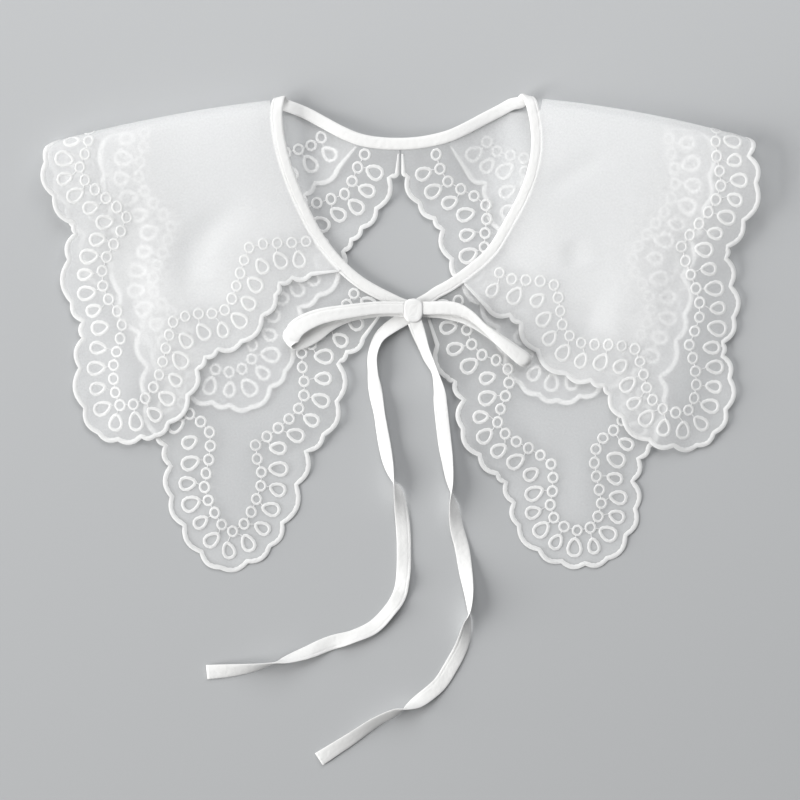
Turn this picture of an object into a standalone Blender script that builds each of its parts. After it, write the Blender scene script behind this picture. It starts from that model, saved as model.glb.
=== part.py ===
"""Two-tier organza shawl collar with a bound neck tied in a bow, laid flat.

Run with: blender --background --python part.py

The collar lies on its back panels, neck towards +Y, as seen from above. Each half has two
tiers. A tier is one cut of organza that folds over at the shoulder, so its front panel lies
on its back panel. The tables hold sizes in millimetres; meshes are made in metres, +Z up.
The origin is on the surface that the collar lies on, under the middle of its cloth.
"""

import math

import bmesh
import bpy
import numpy as np
from mathutils import Vector
from mathutils.geometry import delaunay_2d_cdt

METRES = 0.001
COLLECTION_NAME = "lace_collar"

# Cloth and how its layers lie on each other
WALL = 1.0               # thickness of each cloth wall
LAYER_GAP = 0.4          # air between two layers that lie on each other
SEAM_GAP = 0.3           # air between a tier and the binding that holds it
PITCH = WALL + LAYER_GAP
LAYER_ORDER = ("upper_back", "lower_back", "lower_front", "upper_front")

# Shoulder fold: the front panels stand up here and sink towards the hem
FOLD_TOP = 13.0          # height of the upper tier's front panel at the fold
FOLD_PLATEAU = 9.0       # distance from the fold where the front starts to sink
FOLD_SINK = 80.0         # length over which it sinks
LOWER_FOLD_INSET = 3.5   # how far the lower tier's fold lies inside the upper tier's
BOW_REACH = 60.0         # how far in from the fold its bow is felt
BOW_STEPS = 12           # rounds that undo the bow

# Front panels settle onto the surface below the back panels' hem
SETTLE_FROM = -45.0
SETTLE_TO = -90.0
DROOP_START = 3.0        # upper front edge, outside the lower front panel
DROOP_LENGTH = 24.0
DROOP_DEPTH = 2.4
DROOP_FROM_NECK = 60.0   # the edge by the neck doesn't droop

# The back of the neck stands off the surface
NECK_RISE = 5.5
NECK_RISE_REACH = 42.0
NECK_RISE_FULL = 25.0
NECK_RISE_END = 60.0

# Scalloped edges and mesh spacing
SCALLOP_BULGE = 0.20     # height of a scallop as a share of its chord
SCALLOP_STEPS = 3
LATTICE = 10.0
ROLL_ROWS = 6
EDGE_CLEARANCE = 0.42    # of the lattice, between an inner point and the outline

# Binding, ties and bow
BINDING_WIDTH = 6.9
BINDING_WALL = 2.0
TIE_WIDTH = 7.7
TIE_WALL = 1.0
KNOT_CENTRE = (7.4, 13.4, 7.2)
KNOT_SIZE = (10.4, 12.0, 7.6)

# Middle of the cloth's outline, moved to the origin
OUTLINE_CENTRE = (0.5, 0.9)

# Shoulder folds. neck, outer: ends of the fold as laid. bow: how far it bows out between
# them. clear: how far from the neck end the tiers start, beside the binding
FOLDS = {
    "left": {"neck": (-64.5, 129.2), "outer": (-192.0, 105.2), "bow": 2.6, "clear": 8.2},
    "right": {"neck": (63.8, 130.4), "outer": (194.0, 106.8), "bow": 3.6, "clear": 15.7},
}

# Soft ridges of the front panels. Columns: x, y, direction in degrees, length, width, height
RIDGES = (
    (-129.0, 30.0, 92, 110, 34, 1.6), (-80.0, 35.0, 80, 100, 36, 1.8),
    (-96.0, -84.0, 97, 80, 32, 1.5), (85.0, 40.0, 102, 100, 34, 1.4),
    (127.0, 25.0, 88, 110, 38, 1.6), (101.0, -84.0, 83, 80, 32, 1.5),
)

# Cusps between the scallops of each panel, as laid. Columns: x, y.
# Front panels run from the front of the neck to the shoulder fold, back panels from the
# back of the neck to the shoulder fold. The first row is where a tier leaves the binding.
CUSPS = {
    ("left", "upper_front"): (
        (-33.0, 34.5), (-48.4, 32.2), (-58.9, 30.0), (-65.5, 27.2), (-67.1, 21.2),
        (-74.8, 9.6), (-86.4, -4.7), (-99.6, -9.1), (-106.2, -13.5), (-110.6, -19.5),
        (-115.5, -33.8), (-126.5, -49.2), (-134.2, -56.4), (-141.9, -56.9),
        (-155.1, -58.6), (-166.1, -54.7), (-173.8, -40.4), (-176.6, -18.4),
        (-174.9, -1.9), (-174.9, 6.9), (-181.0, 17.3), (-182.6, 41.0),
        (-178.8, 55.3), (-179.4, 60.2), (-190.3, 75.6), (-194.7, 94.3), (-188.4, 106.0),
    ),
    ("left", "lower_front"): (
        (-9.4, 12.0), (-19.3, -2.5), (-28.6, -10.7), (-33.0, -15.7), (-33.6, -37.1),
        (-41.3, -55.8), (-50.6, -64.6), (-56.1, -82.8), (-63.8, -104.2),
        (-71.0, -116.9), (-83.6, -125.7), (-99.0, -129.0), (-110.0, -120.2),
        (-119.4, -105.3), (-126.5, -89.4), (-127.1, -72.3), (-129.8, -61.3),
        (-134.2, -55.5), (-139.2, -36.0), (-139.2, -17.9), (-144.1, 0.3),
        (-154.6, 21.7), (-153.5, 52.0), (-158.4, 71.2), (-162.8, 87.7), (-158.5, 109.5),
    ),
    ("left", "lower_back"): (
        (-0.3, 99.0), (-0.5, 87.7), (-5.0, 86.1), (-12.1, 68.5), (-20.4, 58.0),
        (-25.9, 51.4), (-30.3, 45.4), (-33.0, 32.7), (-44.6, 20.6), (-54.5, 14.6),
        (-60.0, -3.0), (-62.2, -20.6), (-70.4, -29.4), (-81.4, -41.0),
        (-93.5, -39.9), (-103.4, -38.2), (-115.5, -34.9), (-127.6, -25.0),
        (-136.4, -7.4), (-140.3, 13.5), (-145.8, 35.5), (-148.5, 56.4),
        (-155.1, 74.0), (-159.5, 89.4),
    ),
    ("left", "upper_back"): (
        (-23.7, 102.6), (-33.0, 91.0), (-46.2, 82.2), (-51.7, 76.2), (-57.2, 60.2),
        (-68.2, 49.2), (-78.1, 39.9), (-82.5, 24.5), (-94.6, 12.4), (-107.3, 9.1),
        (-116.6, 1.4), (-126.5, -5.8), (-138.6, -5.8), (-149.6, 2.5),
        (-155.1, 19.0), (-166.1, 26.7), (-173.8, 39.9), (-173.8, 54.7),
        (-183.7, 71.2), (-189.6, 88.5),
    ),
    ("right", "upper_front"): (
        (35.2, 27.5), (46.8, 14.6), (60.0, 9.6), (65.5, 5.8), (74.8, -9.6),
        (90.8, -22.3), (104.5, -26.1), (111.7, -28.9), (114.4, -33.3),
        (121.6, -45.9), (136.4, -58.6), (150.2, -61.9), (163.4, -61.9),
        (173.3, -54.7), (179.9, -41.5), (182.1, -23.9), (178.2, -11.3),
        (178.2, -4.7), (184.3, 9.1), (182.6, 26.7), (179.9, 42.1), (180.4, 47.6),
        (189.2, 61.9), (195.8, 82.8), (192.0, 97.6), (191.5, 108.2),
    ),
    ("right", "lower_front"): (
        (13.8, 13.0), (19.5, -6.0), (25.5, -24.5), (29.2, -26.1), (34.1, -36.0),
        (33.6, -52.0), (42.9, -66.8), (52.8, -77.3), (57.2, -81.7), (61.6, -92.7),
        (64.4, -105.3), (75.9, -119.1), (88.6, -125.7), (101.8, -126.8),
        (114.4, -124.0), (124.9, -110.8), (130.4, -96.0), (128.7, -80.6),
        (132.0, -68.5), (137.5, -62.0), (141.4, -49.8), (145.8, -35.5),
        (143.6, -23.9), (152.4, -3.6), (157.3, 10.7), (156.2, 32.2),
        (160.6, 52.0), (167.2, 68.5), (170.5, 86.1), (166.0, 110.5),
    ),
    ("right", "lower_back"): (
        (0.9, 99.0), (0.9, 88.3), (3.2, 86.6), (9.9, 71.8), (18.2, 63.0),
        (22.6, 57.5), (27.5, 41.0), (34.1, 28.3), (44.0, 16.2), (53.4, 3.6),
        (57.2, -11.3), (65.5, -27.2), (75.9, -33.8), (86.4, -37.1), (99.0, -34.9),
        (111.1, -29.4), (123.8, -23.9), (136.4, -11.3), (141.9, 6.9),
        (147.4, 27.2), (151.8, 46.5), (159.5, 65.7), (166.7, 83.9),
    ),
    ("right", "upper_back"): (
        (27.5, 103.1), (37.4, 86.6), (46.2, 82.8), (48.4, 72.3), (53.4, 57.5),
        (61.6, 46.5), (72.6, 35.5), (80.3, 20.1), (93.5, 10.2), (107.8, 8.0),
        (116.6, 0.3), (127.6, -5.2), (140.3, -3.0), (148.5, 6.9), (153.0, 22.0),
        (159.5, 39.9), (168.3, 52.0), (177.1, 67.4), (185.9, 80.6), (190.0, 95.0),
    ),
}

# Binding, from the knot up the left front, round the back of the neck and down the right
# front. Columns: x, y, part of the neck, direction of the binding's width in degrees.
BINDING_ROWS = (
    (-0.5, 17.2, "front", 68), (-6.6, 20.1, "front", 64), (-19.8, 27.2, "front", 59),
    (-31.9, 37.1, "front", 48), (-43.7, 51.4, "front", 36), (-52.0, 66.3, "front", 27),
    (-58.6, 81.1, "front", 20), (-63.8, 96.0, "front", 12), (-66.9, 110.3, "front", 4),
    (-67.6, 121.0, "front", 2), (-67.2, 126.0, "roll_top", 6),
    (-66.0, 129.6, "roll_edge", 14), (-63.6, 126.4, "roll_foot", 28),
    (-59.0, 124.6, "back", 52), (-51.7, 121.6, "back", 60), (-41.8, 116.2, "back", 61),
    (-32.5, 111.1, "back", 65), (-22.6, 107.0, "back", 74), (-12.7, 105.1, "back", 84),
    (-2.8, 104.5, "back", 89), (7.2, 104.8, "back", 94), (17.1, 106.2, "back", 101),
    (27.0, 108.8, "back", 110), (36.3, 113.0, "back", 118), (46.2, 118.4, "back", 120),
    (56.1, 123.6, "back", 124), (61.5, 126.6, "back", 132),
    (66.3, 127.6, "roll_foot", 150), (69.6, 130.6, "roll_edge", 164),
    (71.8, 127.0, "roll_top", 178), (73.6, 120.2, "front", 186), (75.3, 105.9, "front", 180),
    (73.4, 91.0, "front", 166), (68.2, 76.2, "front", 154), (60.2, 61.3, "front", 149),
    (51.2, 46.5, "front", 140), (41.4, 37.1, "front", 130), (28.6, 27.6, "front", 122),
    (20.6, 23.2, "front", 120), (15.4, 19.6, "front", 124),
)
ROLL_HEIGHTS = {"roll_top": 11.4, "roll_edge": 6.6, "roll_foot": 2.2}
BINDING_STEP = 6.0

# Bow loops and tie ends. Columns: x, y, z, direction of the width in degrees, its tilt
LEFT_LOOP_ROWS = (
    (2.0, 14.6, 8.0, 270, 0), (-12.7, 14.4, 8.9, 268, 0), (-27.5, 12.7, 9.9, 265, 4),
    (-42.9, 10.2, 10.4, 276, 8), (-53.4, 5.6, 10.4, 296, 8), (-59.6, -1.0, 9.2, 312, 6),
    (-60.4, -3.6, 7.0, 312, 2), (-54.5, -2.6, 5.5, 296, 0), (-41.3, 5.0, 5.5, 292, 0),
    (-26.4, 9.4, 5.7, 284, 0), (-10.0, 12.2, 5.8, 278, 0), (2.0, 12.8, 5.8, 274, 0),
)
RIGHT_LOOP_ROWS = (
    (12.8, 14.4, 8.0, 270, 0), (28.6, 14.0, 9.4, 266, 6), (38.0, 10.4, 10.2, 240, 30),
    (46.5, 3.4, 10.4, 232, 40), (57.0, -5.6, 10.6, 228, 14), (68.8, -14.6, 8.8, 222, 4),
    (70.4, -15.6, 6.8, 222, 2), (64.5, -10.8, 5.8, 226, 0), (51.5, 0.2, 5.7, 231, 0),
    (38.0, 8.6, 5.7, 242, 0), (25.0, 12.4, 5.7, 256, 0), (12.8, 13.0, 5.8, 262, 0),
)
LEFT_TAIL_ROWS = (
    (6.6, 11.4, 2.6, -48, 0), (-6.4, 3.2, 2.8, -38, 24), (-12.1, -2.6, 3.4, -20, 42),
    (-15.1, -11.3, 3.8, -8, 49), (-14.9, -21.2, 3.5, 0, 44), (-13.5, -31.1, 2.2, 4, 21),
    (-11.3, -43.7, 3.1, 6, 39), (-8.8, -58.6, 2.8, 6, 31), (-6.6, -70.1, 3.5, 8, 44),
    (-3.9, -80.0, 4.6, 10, 82), (-0.8, -87.7, 3.8, 8, 131), (1.7, -105.9, 1.1, 2, 176),
    (2.2, -123.5, 1.0, -2, 180), (1.4, -135.6, 2.1, -14, 198), (-0.6, -143.8, 1.4, -35, 186),
    (-5.2, -151.0, 2.4, -52, 204), (-14.3, -160.6, 1.9, -58, 198),
    (-26.4, -166.1, 2.6, -68, 209), (-38.5, -169.7, 1.0, -72, 181),
    (-50.6, -174.6, 2.6, -70, 209), (-62.2, -178.5, 4.4, -76, 242),
    (-68.2, -180.1, 4.7, -80, 270), (-80.3, -182.9, 3.8, -82, 305),
    (-92.4, -184.5, 2.6, -84, 331), (-106.2, -185.6, 1.0, -76, 358),
)
RIGHT_TAIL_ROWS = (
    (8.0, 7.0, 6.8, 4, 0), (12.7, -6.3, 4.4, 16, 42), (15.4, -13.0, 4.1, 22, 50),
    (19.3, -21.2, 4.4, 24, 64), (21.7, -31.1, 3.1, 12, 39), (22.3, -38.8, 2.2, 4, 21),
    (24.5, -58.6, 2.2, 6, 21), (26.1, -70.1, 3.1, 8, 39), (27.5, -81.7, 4.4, 8, 66),
    (29.2, -93.8, 4.0, 10, 124), (31.1, -105.9, 2.1, 12, 159), (34.1, -117.4, 1.0, 12, 180),
    (36.0, -129.5, 2.1, 9, 200), (37.7, -141.6, 3.6, 4, 230), (38.0, -152.1, 4.6, -3, 262),
    (36.9, -159.2, 4.0, -12, 305), (33.8, -171.3, 2.1, -22, 339),
    (27.5, -183.4, 1.0, -32, 359), (21.2, -192.8, 1.0, -42, 361),
    (11.0, -201.0, 2.4, -56, 386), (4.4, -204.6, 4.2, -64, 430),
    (-2.4, -207.4, 4.2, -62, 482), (-13.2, -212.8, 3.4, -57, 496),
    (-25.9, -221.4, 2.8, -55, 511), (-38.5, -229.6, 1.8, -54, 526),
    (-44.6, -233.5, 1.1, -52, 538),
)
LOOP_STEP = 3.6
TAIL_STEP = 4.6

# Colours, linear: red, green, blue. Organza, bound edges and ribbon are white cotton satin
FINISHES = {
    "organza": {"colour": (0.78, 0.79, 0.80), "roughness": 0.55},
    "satin": {"colour": (0.90, 0.90, 0.89), "roughness": 0.35},
}


def clear_scene():
    """Remove every object that the file opens with."""
    for thing in list(bpy.data.objects):
        bpy.data.objects.remove(thing, do_unlink=True)


def make_material(name):
    """Principled material of one of the finishes."""
    finish = FINISHES[name]
    material = bpy.data.materials.new(name)
    material.use_nodes = True
    shader = material.node_tree.nodes["Principled BSDF"]
    shader.inputs["Base Color"].default_value = (*finish["colour"], 1.0)
    shader.inputs["Roughness"].default_value = finish["roughness"]
    shader.inputs["Metallic"].default_value = 0.0
    return material


def smoothstep(value):
    """Ease from 0 to 1 as value goes from 0 to 1."""
    value = np.clip(value, 0.0, 1.0)
    return value * value * (3.0 - 2.0 * value)


def spline(rows, step):
    """Points on a Catmull-Rom curve through the rows, about one step apart."""
    rows = np.asarray(rows, float)
    first = 2.0 * rows[0] - rows[1]
    last = 2.0 * rows[-1] - rows[-2]
    knots = np.vstack([first, rows, last])
    samples = []
    for index in range(len(rows) - 1):
        before, start, end, after = knots[index:index + 4]
        length = np.linalg.norm(end[:3] - start[:3])
        count = max(1, round(length / step))
        for part in range(count):
            t = part / count
            samples.append(0.5 * (
                2.0 * start
                + (end - before) * t
                + (2.0 * before - 5.0 * start + 4.0 * end - after) * t ** 2
                + (3.0 * start - before - 3.0 * end + after) * t ** 3
            ))
    samples.append(rows[-1])
    return np.array(samples)


def distance_to_line(points, line):
    """Shortest distance from each point to an open line."""
    best = np.full(len(points), np.inf)
    for start, end in zip(line[:-1], line[1:]):
        run = end - start
        share = np.clip((points - start) @ run / max(run @ run, 1e-9), 0.0, 1.0)
        best = np.minimum(best, np.linalg.norm(points - start - share[:, None] * run, axis=1))
    return best


def inside(points, outline):
    """Which points lie inside a closed outline."""
    result = np.zeros(len(points), bool)
    ends = np.roll(outline, -1, axis=0)
    for (x1, y1), (x2, y2) in zip(outline, ends):
        crosses = (y1 > points[:, 1]) != (y2 > points[:, 1])
        rise = y2 - y1 if y2 != y1 else 1e-9
        result ^= crosses & (points[:, 0] < (x2 - x1) * (points[:, 1] - y1) / rise + x1)
    return result


class Fold:
    """The shoulder fold of one half: s runs along it, d runs inward from its edge."""

    def __init__(self, side):
        values = FOLDS[side]
        self.origin = np.array(values["neck"])
        run = np.array(values["outer"]) - self.origin
        self.length = np.linalg.norm(run)
        self.along = run / self.length
        turn = 1.0 if side == "left" else -1.0
        self.inward = turn * np.array([-self.along[1], self.along[0]])
        self.bow = values["bow"]
        self.clear = values["clear"]

    def swell(self, s, d):
        """How far the bow of the fold pushes a point outward."""
        share = np.clip(s / self.length, 0.0, 1.0)
        return self.bow * 4.0 * share * (1.0 - share) * (1.0 - smoothstep(d / BOW_REACH))

    def measure(self, points):
        """Distance along the fold and inward from its edge."""
        offset = np.asarray(points, float) - self.origin
        s, reach = offset @ self.along, offset @ self.inward
        d = reach
        for _ in range(BOW_STEPS):
            d = reach + self.swell(s, d)
        return s, d

    def place(self, s, d):
        """Point as laid."""
        reach = d - self.swell(s, d)
        return self.origin + s[:, None] * self.along + reach[:, None] * self.inward


class Roll:
    """Half turn of one tier round the shoulder, and its flat pattern."""

    def __init__(self, fold, tier):
        layer = 0 if tier == "upper" else 1
        self.fold = fold
        self.inset = 0.0 if tier == "upper" else LOWER_FOLD_INSET
        self.foot = WALL / 2 + layer * PITCH
        self.radius = (FOLD_TOP - layer * PITCH - self.foot) / 2
        self.quarter = math.pi * self.radius / 2

    def flatten(self, points, is_front):
        """Pattern place of points as laid: s along the fold, q across it."""
        s, d = self.fold.measure(points)
        d = np.maximum(d - self.inset, 0.0)
        turned = self.radius * np.arccos(np.clip(1.0 - d / self.radius, -1.0, 1.0))
        q = np.where(d < self.radius, turned, self.quarter + d - self.radius)
        return np.column_stack([s, q if is_front else -q])

    def lay(self, pattern):
        """Points as laid from the pattern, and the height of each on the half turn."""
        s, q = pattern[:, 0], pattern[:, 1]
        angle = np.clip(np.abs(q) / self.radius, 0.0, math.pi / 2)
        beyond = np.maximum(np.abs(q) - self.quarter, 0.0)
        d = self.inset + self.radius * (1.0 - np.cos(angle)) + beyond
        lift = self.radius * (1.0 + np.sign(q) * np.sin(angle))
        return self.fold.place(s, d), d, lift


def neck_rise(points):
    """How far the back of the neck stands off the surface."""
    centre_line = np.array([row[:2] for row in BINDING_ROWS if row[2] == "back"])
    near = 1.0 - smoothstep(distance_to_line(points, centre_line) / NECK_RISE_REACH)
    span = (np.abs(points[:, 0]) - NECK_RISE_FULL) / (NECK_RISE_END - NECK_RISE_FULL)
    return NECK_RISE * near * (1.0 - smoothstep(span))


def front_height(points, fold, layer):
    """Height of a front layer's middle, counted from the surface."""
    _, d = fold.measure(points)
    layer_height = WALL / 2 + layer * PITCH
    fold_height = FOLD_TOP - (len(LAYER_ORDER) - 1 - layer) * PITCH
    sink = smoothstep((d - FOLD_PLATEAU) / FOLD_SINK)
    settle = smoothstep((SETTLE_FROM - points[:, 1]) / (SETTLE_FROM - SETTLE_TO))
    height = fold_height + (layer_height - fold_height) * sink - 2 * PITCH * settle
    for x, y, turn, length, width, rise in RIDGES:
        run = np.array([math.cos(math.radians(turn)), math.sin(math.radians(turn))])
        offset = points - (x, y)
        lengthwise = smoothstep(1.0 - np.abs(offset @ run) / (length / 2))
        crosswise = smoothstep(1.0 - np.abs(offset @ (-run[1], run[0])) / width)
        height = height + rise * lengthwise * crosswise
    return height


def binding_path():
    """Middle of the binding: x, y, z and the direction of its width."""
    rows = []
    for x, y, part, turn in BINDING_ROWS:
        point = np.array([[x, y]])
        side = "left" if x < 0 else "right"
        if part == "front":
            z = front_height(point, Fold(side), 2)[0] + PITCH / 2
        elif part == "back":
            z = ROLL_HEIGHTS["roll_foot"] + neck_rise(point)[0]
        else:
            z = ROLL_HEIGHTS[part]
        rows.append((x, y, z, turn))
    return spline(rows, BINDING_STEP)


def cut_line(line, mark):
    """Part of a line that follows the foot of a mark on it."""
    starts, runs = line[:-1], np.diff(line, axis=0)
    share = np.sum((mark - starts) * runs, axis=1) / np.sum(runs * runs, axis=1)
    feet = starts + np.clip(share, 0.0, 1.0)[:, None] * runs
    nearest = np.argmin(np.linalg.norm(feet - mark, axis=1))
    rest = line[nearest + 1:]
    if np.linalg.norm(rest[0] - feet[nearest]) < BINDING_STEP / 3:
        rest = rest[1:]
    return np.vstack([feet[nearest], rest])


def neck_edge(side, tier, roll):
    """Edge of a tier along the binding, as flat pattern, from back to front."""
    path = binding_path()
    turn = np.radians(path[:, 3])
    width = np.column_stack([np.cos(turn), np.sin(turn)])
    edge = path[:, :2] - width * (BINDING_WIDTH / 2 + SEAM_GAP)
    if side == "right":
        path, edge = path[::-1], edge[::-1]
    top = np.argmax(np.where(path[:, 0] * path[0, 0] > 0.0, path[:, 1], -np.inf))
    front = cut_line(edge[:top], CUSPS[side, tier + "_front"][0])
    back = cut_line(edge[:top:-1], CUSPS[side, tier + "_back"][0])
    beyond_roll = roll.inset + roll.radius + SEAM_GAP
    front = front[roll.fold.measure(front)[1] > beyond_roll]
    back = back[roll.fold.measure(back)[1] > beyond_roll]
    across = np.linspace(-roll.quarter, roll.quarter, ROLL_ROWS + 1)
    across = np.column_stack([np.full(len(across), roll.fold.clear), across])
    return np.vstack([roll.flatten(back, False), across, roll.flatten(front, True)[::-1]])


def scalloped(cusps, quarter):
    """Arcs between the cusps, each bulging outward. The first and last run straight."""
    points = []
    for start, end in zip(cusps[1:-2], cusps[2:-1]):
        chord = end - start
        outward = np.array([-chord[1], chord[0]])
        on_roll = min(abs(start[1]), abs(end[1])) < quarter
        steps = ROLL_ROWS if on_roll else SCALLOP_STEPS
        for step in range(steps):
            share = step / steps
            bulge = 4.0 * SCALLOP_BULGE * share * (1.0 - share)
            points.append(start + chord * share + outward * bulge)
    points.append(cusps[-2])
    return np.array(points)


def pattern_outline(side, tier, roll):
    """Closed outline of a tier's flat cut."""
    front = roll.flatten(np.array(CUSPS[side, tier + "_front"]), True)
    back = roll.flatten(np.array(CUSPS[side, tier + "_back"]), False)
    cusps = np.vstack([front, back[::-1]])
    edge = scalloped(cusps, roll.quarter)
    return np.vstack([edge, neck_edge(side, tier, roll)])


def laid_outline(side, layer_name):
    """Outline of one panel as laid, closed along its fold."""
    tier = layer_name.split("_")[0]
    roll = Roll(Fold(side), tier)
    outline = pattern_outline(side, tier, roll)
    is_front = layer_name.endswith("front")
    keep = outline[:, 1] >= 0.0 if is_front else outline[:, 1] <= 0.0
    return roll.lay(outline[keep])[0]


def layer_heights(points, side, tier, is_front):
    """Height of a panel's middle at each point."""
    fold = Fold(side)
    if not is_front:
        layer = LAYER_ORDER.index(tier + "_back")
        return WALL / 2 + layer * PITCH + neck_rise(points)
    layer = LAYER_ORDER.index(tier + "_front")
    height = front_height(points, fold, layer)
    if tier == "upper":
        below = laid_outline(side, "lower_front")
        ring = np.vstack([below, below[:1]])
        away = np.where(inside(points, below), 0.0, distance_to_line(points, ring))
        neck_side = np.where(fold.measure(points)[0] < DROOP_FROM_NECK, 0.0, 1.0)
        droop = smoothstep((away - DROOP_START) / DROOP_LENGTH) * neck_side
        sink = smoothstep((fold.measure(points)[1] - FOLD_PLATEAU) / FOLD_SINK)
        height = height - DROOP_DEPTH * droop * sink
    return height


def lattice_points(outline, roll):
    """Inner points of a pattern, closer together across the shoulder roll."""
    low, high = outline.min(axis=0), outline.max(axis=0)
    across = list(np.linspace(-roll.quarter, roll.quarter, ROLL_ROWS + 1))
    across += list(np.arange(roll.quarter + LATTICE, high[1], LATTICE))
    across += list(np.arange(-roll.quarter - LATTICE, low[1], -LATTICE))
    along = np.arange(low[0] + LATTICE / 2, high[0], LATTICE)
    points = np.array([(s, q) for q in across for s in along])
    points = points[inside(points, outline)]
    ring = np.vstack([outline, outline[:1]])
    return points[distance_to_line(points, ring) > EDGE_CLEARANCE * LATTICE]


def new_object(name, mesh_data, material, collection):
    """Object of a bmesh given in millimetres, with one material."""
    shift = Vector((-OUTLINE_CENTRE[0], -OUTLINE_CENTRE[1], 0.0))
    for vertex in mesh_data.verts:
        vertex.co = (vertex.co + shift) * METRES
    mesh = bpy.data.meshes.new(name)
    mesh_data.to_mesh(mesh)
    mesh_data.free()
    mesh.materials.append(material)
    mesh.shade_smooth()
    mesh.set_sharp_from_angle(angle=math.radians(40))
    thing = bpy.data.objects.new(name, mesh)
    collection.objects.link(thing)
    return thing


def make_tier(side, tier, material, collection):
    """One tier: its flat cut, folded over the shoulder, as a wall."""
    roll = Roll(Fold(side), tier)
    outline = pattern_outline(side, tier, roll)
    points = np.vstack([outline, lattice_points(outline, roll)])
    border = list(range(len(outline)))
    flat = [Vector(point) for point in points]
    cut = delaunay_2d_cdt(flat, [], [border], 1, 1e-4)
    pattern = np.array([tuple(vertex) for vertex in cut[0]])
    laid, d, lift = roll.lay(pattern)
    is_front = pattern[:, 1] > 0.0
    front = layer_heights(laid, side, tier, True)
    back = layer_heights(laid, side, tier, False)
    turned = roll.foot + lift
    height = np.where(np.abs(pattern[:, 1]) < roll.quarter, turned, np.where(is_front, front, back))
    wall = bmesh.new()
    vertices = [wall.verts.new((x, y, z)) for (x, y), z in zip(laid, height)]
    for corners in cut[2]:
        wall.faces.new([vertices[corner] for corner in corners])
    bmesh.ops.recalc_face_normals(wall, faces=wall.faces)
    thing = new_object(f"{side}_{tier}_tier", wall, material, collection)
    solidify = thing.modifiers.new("wall", "SOLIDIFY")
    solidify.thickness = WALL * METRES
    solidify.offset = 0.0
    solidify.use_even_offset = True
    return thing


def make_strip(name, path, tilt, width, thickness, material, collection):
    """Flat strip along a path whose columns are x, y, z and the direction of its width."""
    tangents = np.gradient(path[:, :3], axis=0)
    tangents /= np.linalg.norm(tangents, axis=1)[:, None]
    turn = np.radians(path[:, 3])
    lean = np.radians(tilt)
    level = np.column_stack([np.cos(turn), np.sin(turn), np.zeros(len(turn))])
    level -= tangents * np.sum(level * tangents, axis=1)[:, None]
    level /= np.linalg.norm(level, axis=1)[:, None]
    face = np.cross(tangents, level)
    across = level * np.cos(lean)[:, None] + face * np.sin(lean)[:, None]
    normal = np.cross(tangents, across)
    strip = bmesh.new()
    corners = ((-1, -1), (1, -1), (1, 1), (-1, 1))
    rings = []
    for centre, side_way, face_way in zip(path[:, :3], across, normal):
        ring = []
        for side_sign, face_sign in corners:
            reach = side_way * side_sign * width / 2 + face_way * face_sign * thickness / 2
            ring.append(strip.verts.new(centre + reach))
        rings.append(ring)
    for ring, following in zip(rings[:-1], rings[1:]):
        for corner in range(len(corners)):
            after = (corner + 1) % len(corners)
            strip.faces.new((ring[corner], ring[after], following[after], following[corner]))
    strip.faces.new(rings[0])
    strip.faces.new(rings[-1])
    bmesh.ops.recalc_face_normals(strip, faces=strip.faces)
    return new_object(name, strip, material, collection)


def make_binding(material, collection):
    """Bound neckline, from the knot round the neck and back to the knot."""
    path = binding_path()
    level = np.zeros(len(path))
    make_strip("neck_binding", path, level, BINDING_WIDTH, BINDING_WALL, material, collection)


def make_ribbon(name, rows, step, material, collection):
    """Stretch of the tie: a loop of the bow or a free end."""
    path = spline(rows, step)
    make_strip(name, path, path[:, 4], TIE_WIDTH, TIE_WALL, material, collection)


def make_knot(material, collection):
    """Knot of the bow: a soft rounded lump."""
    knot = bmesh.new()
    bmesh.ops.create_icosphere(knot, subdivisions=2, radius=0.5)
    for vertex in knot.verts:
        vertex.co = Vector(
            centre + size * math.copysign(abs(2 * value) ** 0.75, value) / 2
            for value, centre, size in zip(vertex.co, KNOT_CENTRE, KNOT_SIZE)
        )
    new_object("bow_knot", knot, material, collection)


def build():
    """Make the whole collar."""
    clear_scene()
    collection = bpy.data.collections.new(COLLECTION_NAME)
    bpy.context.scene.collection.children.link(collection)
    organza = make_material("organza")
    satin = make_material("satin")
    for side in ("left", "right"):
        for tier in ("upper", "lower"):
            make_tier(side, tier, organza, collection)
    make_binding(satin, collection)
    make_knot(satin, collection)
    make_ribbon("bow_loop_left", LEFT_LOOP_ROWS, LOOP_STEP, satin, collection)
    make_ribbon("bow_loop_right", RIGHT_LOOP_ROWS, LOOP_STEP, satin, collection)
    make_ribbon("tail_left", LEFT_TAIL_ROWS, TAIL_STEP, satin, collection)
    make_ribbon("tail_right", RIGHT_TAIL_ROWS, TAIL_STEP, satin, collection)


build()
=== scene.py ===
import math
import random

import bmesh
import bpy
import numpy as np
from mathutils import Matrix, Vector
from mathutils.geometry import delaunay_2d_cdt


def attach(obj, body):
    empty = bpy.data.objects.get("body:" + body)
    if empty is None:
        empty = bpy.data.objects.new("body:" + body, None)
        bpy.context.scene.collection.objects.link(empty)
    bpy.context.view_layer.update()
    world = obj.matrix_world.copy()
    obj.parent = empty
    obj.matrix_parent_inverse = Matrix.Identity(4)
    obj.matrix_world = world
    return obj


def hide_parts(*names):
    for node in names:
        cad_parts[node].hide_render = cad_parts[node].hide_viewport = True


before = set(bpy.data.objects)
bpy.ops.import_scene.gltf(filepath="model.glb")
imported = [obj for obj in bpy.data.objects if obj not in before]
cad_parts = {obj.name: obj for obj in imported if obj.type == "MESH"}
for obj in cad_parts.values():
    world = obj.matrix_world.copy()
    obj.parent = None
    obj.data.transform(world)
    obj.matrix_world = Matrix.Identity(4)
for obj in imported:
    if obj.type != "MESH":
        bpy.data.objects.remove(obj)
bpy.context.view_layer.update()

random.seed(7)
outlineCentre = np.array((0.5, 0.9))  # mm, middle of the cloth as laid, which is the origin


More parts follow.
